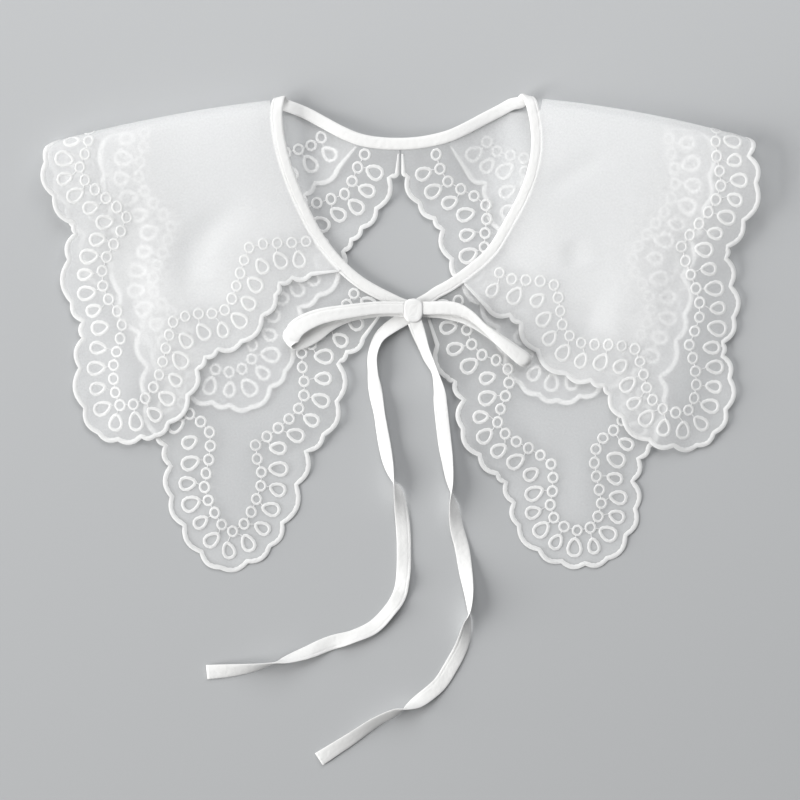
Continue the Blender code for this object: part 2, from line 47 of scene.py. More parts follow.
# ---------- camera, light and floor ----------

studio = {
    "photoCentre": (0.0, -36.0),  # mm as laid, under the camera
    "cameraHeight": 2.5,
    "fieldWidth": 0.440,
    "floorColour": (0.485, 0.493, 0.501, 1.0),
    "keyPower": 286.0,
    "keyPlace": (-4.2, -0.8, 1.75),
    "keySize": 3.3,
    "fillPower": 13.6,
    "fillPlace": (0.05, 1.0, 0.95),
    "fillSize": 1.2,
    "skyColour": (0.985, 0.99, 1.0, 1.0),
    "skyStrength": 0.222,
}


def aimAt(thing, target):
    # turns a light so that it looks at a point
    thing.rotation_euler = (Vector(target) - thing.location).to_track_quat("-Z", "Y").to_euler()


def addAreaLight(name, place, size, power, colour):
    light = bpy.data.lights.new(name, "AREA")
    light.shape = "SQUARE"
    light.size = size
    light.energy = power
    light.color = colour
    thing = bpy.data.objects.new(name, light)
    thing.location = place
    bpy.context.collection.objects.link(thing)
    aimAt(thing, (0.0, -0.03, 0.0))


def floorMaterial():
    material = bpy.data.materials.new("paleTable")
    material.use_nodes = True
    nodes, links = material.node_tree.nodes, material.node_tree.links
    shader = nodes["Principled BSDF"]
    place = nodes.new("ShaderNodeTexCoord")
    grain = nodes.new("ShaderNodeTexNoise")
    grain.inputs["Scale"].default_value = 900.0
    grain.inputs["Detail"].default_value = 3.0
    shade = nodes.new("ShaderNodeMapRange")
    shade.inputs["To Min"].default_value = 0.985
    shade.inputs["To Max"].default_value = 1.015
    tint = nodes.new("ShaderNodeVectorMath")
    tint.operation = "SCALE"
    tint.inputs[0].default_value = studio["floorColour"][:3]
    links.new(place.outputs["Object"], grain.inputs["Vector"])
    links.new(grain.outputs["Fac"], shade.inputs["Value"])
    links.new(shade.outputs["Result"], tint.inputs["Scale"])
    links.new(tint.outputs["Vector"], shader.inputs["Base Color"])
    shader.inputs["Roughness"].default_value = 0.75
    shader.inputs["Specular IOR Level"].default_value = 0.2
    return material


def makeStudio():
    scene = bpy.context.scene
    camera = bpy.data.cameras.new("photoCamera")
    camera.lens = camera.sensor_width * studio["cameraHeight"] / studio["fieldWidth"]
    camera.clip_end = 20.0
    thing = bpy.data.objects.new("photoCamera", camera)
    centre = (np.array(studio["photoCentre"]) - outlineCentre) * 0.001
    thing.location = (centre[0], centre[1], studio["cameraHeight"])
    bpy.context.collection.objects.link(thing)
    scene.camera = thing
    addAreaLight("key", studio["keyPlace"], studio["keySize"], studio["keyPower"], (1.0, 1.0, 0.99))
    addAreaLight("fill", studio["fillPlace"], studio["fillSize"], studio["fillPower"], (0.98, 0.99, 1.0))
    world = bpy.data.worlds.new("softRoom")
    world.use_nodes = True
    sky = world.node_tree.nodes["Background"]
    sky.inputs["Color"].default_value = studio["skyColour"]
    sky.inputs["Strength"].default_value = studio["skyStrength"]
    scene.world = world
    scene.view_settings.view_transform = "Standard"
    scene.cycles.transparent_max_bounces = 32
    table = bmesh.new()
    bmesh.ops.create_grid(table, x_segments=1, y_segments=1, size=4.0)
    mesh = bpy.data.meshes.new("table")
    table.to_mesh(mesh)
    table.free()
    mesh.materials.append(floorMaterial())
    floor = bpy.data.objects.new("table", mesh)
    bpy.context.collection.objects.link(floor)


makeStudio()
print("stage: camera, light and table")


# ---------- small helpers ----------

def ease(value):
    value = np.clip(value, 0.0, 1.0)
    return value * value * (3.0 - 2.0 * value)


def smoothLine(rows, step):
    # points on a curve through the rows, about one step apart; any columns past the place follow
    rows = np.asarray(rows, float)
    placeColumns = min(3, rows.shape[1])
    knots = np.vstack([2.0 * rows[0] - rows[1], rows, 2.0 * rows[-1] - rows[-2]])
    points = []
    for index in range(len(rows) - 1):
        before, start, end, after = knots[index:index + 4]
        count = max(1, round(np.linalg.norm((end - start)[:placeColumns]) / step))
        t = (np.arange(count) / count)[:, None]
        points.append(0.5 * (
            2.0 * start + (end - before) * t
            + (2.0 * before - 5.0 * start + 4.0 * end - after) * t ** 2
            + (3.0 * start - before - 3.0 * end + after) * t ** 3
        ))
    points.append(rows[-1:])
    return np.vstack(points)


def lineReach(points, line):
    # distance of each point from an open line, and how far along the line its nearest place is
    best = np.full(len(points), np.inf)
    along = np.zeros(len(points))
    passed = 0.0
    for start, end in zip(line[:-1], line[1:]):
        run = end - start
        length = max(np.linalg.norm(run), 1e-9)
        share = np.clip((points - start) @ run / length ** 2, 0.0, 1.0)
        away = np.linalg.norm(points - start - share[:, None] * run, axis=1)
        along = np.where(away < best, passed + share * length, along)
        best = np.minimum(best, away)
        passed += length
    return best, along


def runOf(points):
    return np.concatenate([[0.0], np.cumsum(np.linalg.norm(np.diff(points, axis=0), axis=1))])


def isInside(points, outline):
    found = np.zeros(len(points), bool)
    for (x1, y1), (x2, y2) in zip(outline, np.roll(outline, -1, axis=0)):
        crosses = (y1 > points[:, 1]) != (y2 > points[:, 1])
        rise = y2 - y1 if y2 != y1 else 1e-9
        found ^= crosses & (points[:, 0] < (x2 - x1) * (points[:, 1] - y1) / rise + x1)
    return found


def toFrame(points):
    # millimetres as laid to metres in the frame
    moved = np.array(points, float)
    moved[:, :2] -= outlineCentre
    return moved * 0.001


def makeObject(name, mesh, material, smooth=True):
    mesh.materials.append(material)
    if smooth:
        mesh.shade_smooth()
    thing = bpy.data.objects.new(name, mesh)
    bpy.context.collection.objects.link(thing)
    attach(thing, "root")
    return thing


# ---------- the cut of the cloth, as in the solids ----------

cloth = {
    "wall": 1.0, "pitch": 1.4, "foldTop": 13.0, "foldPlateau": 9.0, "foldSink": 80.0,
    "lowerInset": 3.5, "bowReach": 60.0, "settleFrom": -45.0, "settleTo": -90.0,
    "droopStart": 3.0, "droopLength": 24.0, "droopDepth": 2.4, "droopFromNeck": 60.0,
    "neckRise": 5.5, "neckRiseReach": 42.0, "neckRiseFull": 25.0, "neckRiseEnd": 60.0,
    "scallopBulge": 0.20, "scallopSteps": 9, "rollRows": 10, "lattice": 3.2,
    "underBinding": 2.2,  # how far the cloth runs in under the binding
    "flutter": 0.40, "flutterReach": 15.0, "flutterWave": 27.0,
}
layerOrder = ("upper_back", "lower_back", "lower_front", "upper_front")

folds = {
    "left": {"neck": (-64.5, 129.2), "outer": (-192.0, 105.2), "bow": 2.6, "clear": 8.2},
    "right": {"neck": (63.8, 130.4), "outer": (194.0, 106.8), "bow": 3.6, "clear": 15.7},
}

# large soft ridges of the front panels: x, y, direction in degrees, length, width, height
ridges = (
    (-129.0, 30.0, 92, 110, 34, 1.6), (-80.0, 35.0, 80, 100, 36, 1.8),
    (-96.0, -84.0, 97, 80, 32, 1.5), (85.0, 40.0, 102, 100, 34, 1.4),
    (127.0, 25.0, 88, 110, 38, 1.6), (101.0, -84.0, 83, 80, 32, 1.5),
)

# soft creases: face, points of the crease's middle, half-width, height
creases = (
    ("front", ((-82.0, 80.0), (-100.0, 62.0), (-115.5, 43.7), (-116.0, 13.5)), 12.0, -0.75),
    ("front", ((-92.0, 60.0), (-99.0, 42.0), (-98.0, 24.0)), 13.0, 0.60),
    ("front", ((-140.0, 96.0), (-146.0, 60.0), (-143.0, 22.0), (-150.0, -16.0)), 9.0, -0.50),
    ("front", ((-66.0, -40.0), (-78.0, -70.0), (-84.0, -104.0)), 8.0, -0.40),
    ("front", ((-104.0, -70.0), (-100.0, -96.0), (-104.0, -118.0)), 7.0, 0.35),
    ("front", ((116.0, 100.0), (94.0, 88.0), (74.0, 76.0)), 9.0, -0.60),
    ("front", ((91.0, 51.0), (96.0, 45.0), (99.0, 36.0)), 9.0, -0.85),
    ("front", ((106.0, 24.0), (104.0, 8.0), (101.0, -8.0)), 8.0, -0.55),
    ("front", ((122.0, 30.0), (118.0, 0.0), (121.0, -24.0)), 9.0, 0.45),
    ("front", ((150.0, 90.0), (158.0, 56.0), (150.0, 24.0), (154.0, -14.0)), 9.0, -0.45),
    ("front", ((66.0, -38.0), (74.0, -60.0), (78.0, -84.0)), 7.0, -0.45),
    ("front", ((96.0, -50.0), (101.0, -82.0), (98.0, -108.0)), 8.0, 0.35),
    ("back", ((-128.0, 92.0), (-110.0, 58.0), (-92.0, 26.0)), 10.0, 0.45),
    ("back", ((-88.0, 96.0), (-80.0, 62.0), (-70.0, 30.0)), 8.0, 0.35),
    ("back", ((126.0, 96.0), (108.0, 60.0), (96.0, 22.0)), 10.0, 0.45),
    ("back", ((84.0, 92.0), (74.0, 60.0), (70.0, 24.0)), 8.0, 0.35),
)

# places of the scallops' cusps, as laid: x, y
cusps = {
    "left_upper_front": (
        (-33.0, 34.5), (-48.4, 32.2), (-58.9, 30.0), (-65.5, 27.2), (-67.1, 21.2),
        (-74.8, 9.6), (-86.4, -4.7), (-99.6, -9.1), (-106.2, -13.5), (-110.6, -19.5),
        (-115.5, -33.8), (-126.5, -49.2), (-134.2, -56.4), (-141.9, -56.9),
        (-155.1, -58.6), (-166.1, -54.7), (-173.8, -40.4), (-176.6, -18.4),
        (-174.9, -1.9), (-174.9, 6.9), (-181.0, 17.3), (-182.6, 41.0),
        (-178.8, 55.3), (-179.4, 60.2), (-190.3, 75.6), (-194.7, 94.3), (-188.4, 106.0),
    ),
    "left_lower_front": (
        (-9.4, 12.0), (-19.3, -2.5), (-28.6, -10.7), (-33.0, -15.7), (-33.6, -37.1),
        (-41.3, -55.8), (-50.6, -64.6), (-56.1, -82.8), (-63.8, -104.2),
        (-71.0, -116.9), (-83.6, -125.7), (-99.0, -129.0), (-110.0, -120.2),
        (-119.4, -105.3), (-126.5, -89.4), (-127.1, -72.3), (-129.8, -61.3),
        (-134.2, -55.5), (-139.2, -36.0), (-139.2, -17.9), (-144.1, 0.3),
        (-154.6, 21.7), (-153.5, 52.0), (-158.4, 71.2), (-162.8, 87.7), (-158.5, 109.5),
    ),
    "left_lower_back": (
        (-0.3, 99.0), (-0.5, 87.7), (-5.0, 86.1), (-12.1, 68.5), (-20.4, 58.0),
        (-25.9, 51.4), (-30.3, 45.4), (-33.0, 32.7), (-44.6, 20.6), (-54.5, 14.6),
        (-60.0, -3.0), (-62.2, -20.6), (-70.4, -29.4), (-81.4, -41.0),
        (-93.5, -39.9), (-103.4, -38.2), (-115.5, -34.9), (-127.6, -25.0),
        (-136.4, -7.4), (-140.3, 13.5), (-145.8, 35.5), (-148.5, 56.4),
        (-155.1, 74.0), (-159.5, 89.4),
    ),
    "left_upper_back": (
        (-23.7, 102.6), (-33.0, 91.0), (-46.2, 82.2), (-51.7, 76.2), (-57.2, 60.2),
        (-68.2, 49.2), (-78.1, 39.9), (-82.5, 24.5), (-94.6, 12.4), (-107.3, 9.1),
        (-116.6, 1.4), (-126.5, -5.8), (-138.6, -5.8), (-149.6, 2.5),
        (-155.1, 19.0), (-166.1, 26.7), (-173.8, 39.9), (-173.8, 54.7),
        (-183.7, 71.2), (-189.6, 88.5),
    ),
    "right_upper_front": (
        (35.2, 27.5), (46.8, 14.6), (60.0, 9.6), (65.5, 5.8), (74.8, -9.6),
        (90.8, -22.3), (104.5, -26.1), (111.7, -28.9), (114.4, -33.3),
        (121.6, -45.9), (136.4, -58.6), (150.2, -61.9), (163.4, -61.9),
        (173.3, -54.7), (179.9, -41.5), (182.1, -23.9), (178.2, -11.3),
        (178.2, -4.7), (184.3, 9.1), (182.6, 26.7), (179.9, 42.1), (180.4, 47.6),
        (189.2, 61.9), (195.8, 82.8), (192.0, 97.6), (191.5, 108.2),
    ),
    "right_lower_front": (
        (13.8, 13.0), (19.5, -6.0), (25.5, -24.5), (29.2, -26.1), (34.1, -36.0),
        (33.6, -52.0), (42.9, -66.8), (52.8, -77.3), (57.2, -81.7), (61.6, -92.7),
        (64.4, -105.3), (75.9, -119.1), (88.6, -125.7), (101.8, -126.8),
        (114.4, -124.0), (124.9, -110.8), (130.4, -96.0), (128.7, -80.6),
        (132.0, -68.5), (137.5, -62.0), (141.4, -49.8), (145.8, -35.5),
        (143.6, -23.9), (152.4, -3.6), (157.3, 10.7), (156.2, 32.2),
        (160.6, 52.0), (167.2, 68.5), (170.5, 86.1), (166.0, 110.5),
    ),
    "right_lower_back": (
        (0.9, 99.0), (0.9, 88.3), (3.2, 86.6), (9.9, 71.8), (18.2, 63.0),
        (22.6, 57.5), (27.5, 41.0), (34.1, 28.3), (44.0, 16.2), (53.4, 3.6),
        (57.2, -11.3), (65.5, -27.2), (75.9, -33.8), (86.4, -37.1), (99.0, -34.9),
        (111.1, -29.4), (123.8, -23.9), (136.4, -11.3), (141.9, 6.9),
        (147.4, 27.2), (151.8, 46.5), (159.5, 65.7), (166.7, 83.9),
    ),
    "right_upper_back": (
        (27.5, 103.1), (37.4, 86.6), (46.2, 82.8), (48.4, 72.3), (53.4, 57.5),
        (61.6, 46.5), (72.6, 35.5), (80.3, 20.1), (93.5, 10.2), (107.8, 8.0),
        (116.6, 0.3), (127.6, -5.2), (140.3, -3.0), (148.5, 6.9), (153.0, 22.0),
        (159.5, 39.9), (168.3, 52.0), (177.1, 67.4), (185.9, 80.6), (190.0, 95.0),
    ),
}

# middle of the binding: x, y, part of the neck, direction of its width in degrees
bindingRows = (
    (-0.5, 17.2, "front", 68), (-6.6, 20.1, "front", 64), (-19.8, 27.2, "front", 59),
    (-31.9, 37.1, "front", 48), (-43.7, 51.4, "front", 36), (-52.0, 66.3, "front", 27),
    (-58.6, 81.1, "front", 20), (-63.8, 96.0, "front", 12), (-66.9, 110.3, "front", 4),
    (-67.6, 121.0, "front", 2), (-67.2, 126.0, "rollTop", 6),
    (-66.0, 129.6, "rollEdge", 14), (-63.6, 126.4, "rollFoot", 28),
    (-59.0, 124.6, "back", 52), (-51.7, 121.6, "back", 60), (-41.8, 116.2, "back", 61),
    (-32.5, 111.1, "back", 65), (-22.6, 107.0, "back", 74), (-12.7, 105.1, "back", 84),
    (-2.8, 104.5, "back", 89), (7.2, 104.8, "back", 94), (17.1, 106.2, "back", 101),
    (27.0, 108.8, "back", 110), (36.3, 113.0, "back", 118), (46.2, 118.4, "back", 120),
    (56.1, 123.6, "back", 124), (61.5, 126.6, "back", 132),
    (66.3, 127.6, "rollFoot", 150), (69.6, 130.6, "rollEdge", 164),
    (71.8, 127.0, "rollTop", 178), (73.6, 120.2, "front", 186), (75.3, 105.9, "front", 180),
    (73.4, 91.0, "front", 166), (68.2, 76.2, "front", 154), (60.2, 61.3, "front", 149),
    (51.2, 46.5, "front", 140), (41.4, 37.1, "front", 130), (28.6, 27.6, "front", 122),
    (20.6, 23.2, "front", 120), (15.4, 19.6, "front", 124),
)
binding = {"width": 6.9, "shownWidth": 7.3, "wall": 2.0, "seamGap": 0.3, "step": 6.0,
           "rollTop": 11.4, "rollEdge": 6.6, "rollFoot": 2.2}


def foldOf(side):
    values = folds[side]
    origin = np.array(values["neck"])
    run = np.array(values["outer"]) - origin
    length = np.linalg.norm(run)
    along = run / length
    turn = 1.0 if side == "left" else -1.0
    inward = turn * np.array([-along[1], along[0]])
    return {"origin": origin, "length": length, "along": along, "inward": inward, **values}


def foldSwell(fold, s, d):
    share = np.clip(s / fold["length"], 0.0, 1.0)
    return fold["bow"] * 4.0 * share * (1.0 - share) * (1.0 - ease(d / cloth["bowReach"]))


def measureFromFold(fold, points):
    offset = np.asarray(points, float) - fold["origin"]
    s, reach = offset @ fold["along"], offset @ fold["inward"]
    d = reach
    for _ in range(12):
        d = reach + foldSwell(fold, s, d)
    return s, d


def tierOf(side, name):
    layer = 0 if name == "upper" else 1
    foot = cloth["wall"] / 2 + layer * cloth["pitch"]
    radius = (cloth["foldTop"] - layer * cloth["pitch"] - foot) / 2
    return {
        "side": side, "name": name, "fold": foldOf(side), "foot": foot, "radius": radius,
        "inset": 0.0 if name == "upper" else cloth["lowerInset"], "quarter": math.pi * radius / 2,
    }


def flatten(tier, points, isFront):
    # place in the flat cut: s along the shoulder fold, q across it
    s, d = measureFromFold(tier["fold"], points)
    radius = tier["radius"]
    d = np.maximum(d - tier["inset"], 0.0)
    turned = radius * np.arccos(np.clip(1.0 - d / radius, -1.0, 1.0))
    q = np.where(d < radius, turned, tier["quarter"] + d - radius)
    return np.column_stack([s, q if isFront else -q])


def layDown(tier, pattern):
    # the cut folded over the shoulder: place as laid, and the height on the roll
    s, q = pattern[:, 0], pattern[:, 1]
    fold = tier["fold"]
    angle = np.clip(np.abs(q) / tier["radius"], 0.0, math.pi / 2)
    beyond = np.maximum(np.abs(q) - tier["quarter"], 0.0)
    d = tier["inset"] + tier["radius"] * (1.0 - np.cos(angle)) + beyond
    reach = d - foldSwell(fold, s, d)
    laid = fold["origin"] + s[:, None] * fold["along"] + reach[:, None] * fold["inward"]
    return laid, tier["radius"] * (1.0 + np.sign(q) * np.sin(angle))


def neckRise(points):
    backLine = np.array([row[:2] for row in bindingRows if row[2] == "back"])
    near = 1.0 - ease(lineReach(points, backLine)[0] / cloth["neckRiseReach"])
    span = cloth["neckRiseEnd"] - cloth["neckRiseFull"]
    beside = (np.abs(points[:, 0]) - cloth["neckRiseFull"]) / span
    return cloth["neckRise"] * near * (1.0 - ease(beside))


def frontHeight(points, fold, layer):
    d = measureFromFold(fold, points)[1]
    layerHeight = cloth["wall"] / 2 + layer * cloth["pitch"]
    foldHeight = cloth["foldTop"] - (len(layerOrder) - 1 - layer) * cloth["pitch"]
    sink = ease((d - cloth["foldPlateau"]) / cloth["foldSink"])
    settle = ease((cloth["settleFrom"] - points[:, 1]) / (cloth["settleFrom"] - cloth["settleTo"]))
    height = foldHeight + (layerHeight - foldHeight) * sink - 2 * cloth["pitch"] * settle
    for x, y, turn, length, width, rise in ridges:
        run = np.array([math.cos(math.radians(turn)), math.sin(math.radians(turn))])
        offset = points - (x, y)
        lengthwise = ease(1.0 - np.abs(offset @ run) / (length / 2))
        crosswise = ease(1.0 - np.abs(offset @ (-run[1], run[0])) / width)
        height = height + rise * lengthwise * crosswise
    return height


def bindingPath():
    rows = []
    for x, y, part, turn in bindingRows:
        point = np.array([[x, y]])
        side = "left" if x < 0 else "right"
        if part == "front":
            z = frontHeight(point, foldOf(side), 2)[0] + cloth["pitch"] / 2
        elif part == "back":
            z = binding["rollFoot"] + neckRise(point)[0]
        else:
            z = binding[part]
        rows.append((x, y, z, turn))
    return smoothLine(rows, binding["step"])


neckLine = bindingPath()


def cutFrom(line, mark):
    # the part of a line that follows the foot of a mark on it
    starts, runs = line[:-1], np.diff(line, axis=0)
    share = np.sum((mark - starts) * runs, axis=1) / np.sum(runs * runs, axis=1)
    feet = starts + np.clip(share, 0.0, 1.0)[:, None] * runs
    nearest = np.argmin(np.linalg.norm(feet - mark, axis=1))
    rest = line[nearest + 1:]
    if np.linalg.norm(rest[0] - feet[nearest]) < binding["step"] / 3:
        rest = rest[1:]
    return np.vstack([feet[nearest], rest])


def neckEdge(tier):
    # edge of a tier along the binding, in the flat cut, from back to front
    side, name = tier["side"], tier["name"]
    turn = np.radians(neckLine[:, 3])
    width = np.column_stack([np.cos(turn), np.sin(turn)])
    edge = neckLine[:, :2] - width * (binding["width"] / 2 + binding["seamGap"] - cloth["underBinding"])
    path = neckLine
    if side == "right":
        path, edge = path[::-1], edge[::-1]
    top = np.argmax(np.where(path[:, 0] * path[0, 0] > 0.0, path[:, 1], -np.inf))
    front = cutFrom(edge[:top], cusps[f"{side}_{name}_front"][0])
    back = cutFrom(edge[:top:-1], cusps[f"{side}_{name}_back"][0])
    beyondRoll = tier["inset"] + tier["radius"] + binding["seamGap"]
    front = front[measureFromFold(tier["fold"], front)[1] > beyondRoll]
    back = back[measureFromFold(tier["fold"], back)[1] > beyondRoll]
    across = np.linspace(-tier["quarter"], tier["quarter"], cloth["rollRows"] + 1)
    across = np.column_stack([np.full(len(across), tier["fold"]["clear"] - 0.6 * cloth["underBinding"]), across])
    return np.vstack([flatten(tier, back, False), across, flatten(tier, front, True)[::-1]])


def flatCusps(tier):
    front = flatten(tier, np.array(cusps[f"{tier['side']}_{tier['name']}_front"]), True)
    back = flatten(tier, np.array(cusps[f"{tier['side']}_{tier['name']}_back"]), False)
    return np.vstack([front, back[::-1]])


def scallopLine(points):
    # arcs between the cusps, each bulging outward; the first and last run straight
    arcs = [points[:1]]
    for start, end in zip(points[1:-2], points[2:-1]):
        chord = end - start
        share = (np.arange(cloth["scallopSteps"]) / cloth["scallopSteps"])[:, None]
        bulge = 4.0 * cloth["scallopBulge"] * share * (1.0 - share)
        arcs.append(start + chord * share + np.array([-chord[1], chord[0]]) * bulge)
    arcs.append(points[-2:])
    return np.vstack(arcs)


def cutOutline(tier):
    return np.vstack([scallopLine(flatCusps(tier))[1:-1], neckEdge(tier)])


def laidOutline(side, name, isFront):
    tier = tierOf(side, name)
    outline = cutOutline(tier)
    keep = outline[:, 1] >= 0.0 if isFront else outline[:, 1] <= 0.0
    return layDown(tier, outline[keep])[0]


lowerFronts = {side: laidOutline(side, "lower", True) for side in folds}


def panelHeight(tier, points, isFront):
    side, name = tier["side"], tier["name"]
    layer = layerOrder.index(f"{name}_front" if isFront else f"{name}_back")
    if not isFront:
        return cloth["wall"] / 2 + layer * cloth["pitch"] + neckRise(points)
    height = frontHeight(points, tier["fold"], layer)
    if name == "upper":
        below = lowerFronts[side]
        away = lineReach(points, np.vstack([below, below[:1]]))[0]
        away = np.where(isInside(points, below), 0.0, away)
        s, d = measureFromFold(tier["fold"], points)
        droop = ease((away - cloth["droopStart"]) / cloth["droopLength"])
        droop = droop * (s >= cloth["droopFromNeck"])
        height = height - cloth["droopDepth"] * droop * ease((d - cloth["foldPlateau"]) / cloth["foldSink"])
    return height


def creaseHeight(points, isFront):
    # deepest in the middle of each crease, fading out towards both of its ends
    height = np.zeros(len(points))
    for face, rows, width, rise in creases:
        if (face == "front") != isFront:
            continue
        line = creaseLines[rows]
        away, along = lineReach(points, line)
        share = along / runOf(line)[-1]
        height += rise * (1.0 - ease(away / width)) * ease(3.0 * share) * ease(3.0 * (1.0 - share))
    return height


creaseLines = {rows: smoothLine(rows, 4.0) for _, rows, _, _ in creases}


def drape(tier, pattern):
    # the cloth's middle, in millimetres as laid
    laid, lift = layDown(tier, pattern)
    isFront = pattern[:, 1] > 0.0
    height = np.where(isFront, panelHeight(tier, laid, True), panelHeight(tier, laid, False))
    height = np.where(np.abs(pattern[:, 1]) < tier["quarter"], tier["foot"] + lift, height)
    away, along = lineReach(pattern, flatCusps(tier))
    wave = 0.5 + 0.5 * np.sin(2.0 * math.pi * along / cloth["flutterWave"] + 1.7 * layerOrder.index(f"{tier['name']}_front"))
    offRoll = ease((np.abs(pattern[:, 1]) - tier["quarter"]) / 12.0)
    creased = np.where(isFront, creaseHeight(laid, True), creaseHeight(laid, False))
    height = height + creased * offRoll
    height = height + cloth["flutter"] * wave * offRoll * (1.0 - ease(away / cloth["flutterReach"]))
    return np.column_stack([laid, height])


def drapeRaised(tier, pattern, lift):
    # points that stand off the cloth, on the face that is seen from above
    reach = 0.4
    base = drape(tier, pattern)
    alongS = drape(tier, pattern + (reach, 0.0)) - base
    alongQ = drape(tier, pattern + (0.0, reach)) - base
    normal = np.cross(alongS, alongQ)
    normal /= np.linalg.norm(normal, axis=1)[:, None]
    outward = np.where(pattern[:, 1] > -0.4 * tier["quarter"], 1.0, -1.0)
    facing = 1.0 if tier["side"] == "left" else -1.0
    normal *= (facing * outward)[:, None]
    return base + normal * lift[:, None]


tiers = [tierOf(side, name) for side in folds for name in ("upper", "lower")]


# ---------- the chart of the embroidery ----------

border = {
    "ringInset": 19.0, "ringPitch": 7.7, "ringRadius": 2.60, "ringHalfWidth": 0.68, "ringHeight": 0.31,
    "dropInset": 9.7, "dropPitch": 11.0, "dropFromApex": 12.3,
    "dropLength": 8.6, "dropWidth": 6.4, "dropHalfWidth": 0.90, "dropHeight": 0.35,
    "blend": 24.0, "edgeWidth": 2.6, "edgeHeight": 0.27,
    "threadFoot": 0.04, "threadBack": 0.05, "zigzag": 0.10, "ringClear": 3.7, "dropClear": 5.8,
    "jumpRadius": 0.22, "edgeTaper": 0.45,
}

# where lobes of the border meet: place along the cusps, then x, y of the ring that points inward
lobeEnds = {
    "left_upper_front": ((3.5, -82.5, 47.6), (8.5, -124.3, 6.9), (18.5, -152.4, 5.2), (22.5, -149.6, 64.1)),
    "left_lower_front": ((2.6, -53.9, -10.2), (6.0, -79.2, -60.8), (15.6, -104.5, -53.6),
                         (19.5, -116.6, 0.3), (22.0, -125.4, 59.1)),
    "left_lower_back": ((5.5, -52.8, 68.5), (9.6, -81.4, 16.8), (21.0, -122.1, 63.0)),
    "left_upper_back": ((2.5, -69.3, 97.1), (6.0, -101.2, 54.2), (9.0, -119.4, 33.3),
                        (14.0, -133.7, 34.9), (17.0, -148.0, 61.9)),
    "right_upper_front": ((2.6, 84.7, 27.2), (7.0, 129.2, -8.0), (16.5, 159.0, -5.8), (20.5, 154.6, 48.1)),
    "right_lower_front": ((3.5, 59.4, -19.0), (8.2, 83.1, -71.2), (17.5, 107.8, -63.0),
                          (22.0, 119.9, -19.5), (25.5, 127.6, 41.5)),
    "right_lower_back": ((4.7, 47.3, 71.2), (9.0, 77.6, 15.1), (20.0, 126.0, 54.7)),
    "right_upper_back": ((2.0, 68.2, 97.1), (6.0, 94.6, 51.4), (9.0, 119.4, 32.7), (15.0, 135.9, 52.5)),
}


def pointAt(line, place):
    low = int(math.floor(place))
    share = place - low
    return line[low] * (1.0 - share) + line[min(low + 1, len(line) - 1)] * share


def lobesOf(tier):
    # each lobe: its edge in the flat cut, and the inward points at its ends, if any
    edge = flatCusps(tier)
    key = f"{tier['side']}_{tier['name']}_"
    marks = []
    for place, x, y in lobeEnds[key + "front"]:
        marks.append((place, flatten(tier, np.array([[x, y]]), True)[0]))
    for place, x, y in lobeEnds[key + "back"]:
        marks.append((len(edge) - 1 - place, flatten(tier, np.array([[x, y]]), False)[0]))
    marks.sort(key=lambda mark: mark[0])
    marks = [(0.0, None)] + marks + [(len(edge) - 1.0, None)]
    lobes = []
    for (first, startTip), (last, endTip) in zip(marks[:-1], marks[1:]):
        inner = [edge[i] for i in range(int(math.floor(first)) + 1, int(math.ceil(last)))]
        rows = [pointAt(edge, first)] + inner + [pointAt(edge, last)]
        rows = [row for i, row in enumerate(rows) if i in (0, len(rows) - 1)
                or min(np.linalg.norm(row - rows[0]), np.linalg.norm(row - rows[-1])) > 4.0]
        lobes.append({"edge": smoothLine(np.array(rows), 1.5), "startTip": startTip, "endTip": endTip})
    return lobes


def insetLine(lobe, inset, tipShare):
    # the lobe's edge moved inward, with its ends drawn to the inward points
    line = lobe["edge"]
    run = np.gradient(line, axis=0)
    kernel = np.ones(9) / 9.0
    padded = np.vstack([np.repeat(run[:1], 4, axis=0), run, np.repeat(run[-1:], 4, axis=0)])
    run = np.column_stack([np.convolve(padded[:, k], kernel, "valid") for k in (0, 1)])
    run /= np.linalg.norm(run, axis=1)[:, None]
    inward = np.column_stack([run[:, 1], -run[:, 0]])
    along = np.concatenate([[0.0], np.cumsum(np.linalg.norm(np.diff(line, axis=0), axis=1))])
    offset = inward * inset
    drawn = np.zeros(len(line))
    reach = min(border["blend"], along[-1] / 2)
    for tip, base, away in ((lobe["startTip"], line[0], along), (lobe["endTip"], line[-1], along[-1] - along)):
        if tip is None:
            continue
        depth = tip - base
        depth = depth * (1.0 - tipShare / np.linalg.norm(depth))
        weight = (1.0 - ease(away / reach))[:, None]
        offset = offset * (1.0 - weight) + depth * weight
        drawn = np.maximum(drawn, weight[:, 0])
    moved = line + offset
    keep = (lineReach(moved, line)[0] > 0.96 * inset) | (drawn > 0.25)
    moved, way = moved[keep], (offset / np.linalg.norm(offset, axis=1)[:, None])[keep]
    steps = np.concatenate([[0.0], np.cumsum(np.linalg.norm(np.diff(moved, axis=0), axis=1))])
    places = np.linspace(0.0, steps[-1], max(3, round(steps[-1] / 1.5)))
    moved = np.column_stack([np.interp(places, steps, moved[:, k]) for k in (0, 1)])
    way = np.column_stack([np.interp(places, steps, way[:, k]) for k in (0, 1)])
    for _ in range(10):
        moved[1:-1] = 0.25 * moved[:-2] + 0.5 * moved[1:-1] + 0.25 * moved[2:]
    return moved, way / np.linalg.norm(way, axis=1)[:, None]


def spacedAlong(line, extra, pitch, skipFirst):
    along = np.concatenate([[0.0], np.cumsum(np.linalg.norm(np.diff(line, axis=0), axis=1))])
    count = max(1, round(along[-1] / pitch))
    places = np.linspace(0.0, along[-1], count + 1)[1 if skipFirst else 0:]
    found = [np.interp(places, along, line[:, k]) for k in (0, 1)]
    ways = [np.interp(places, along, extra[:, k]) for k in (0, 1)]
    return np.column_stack(found), np.column_stack(ways)


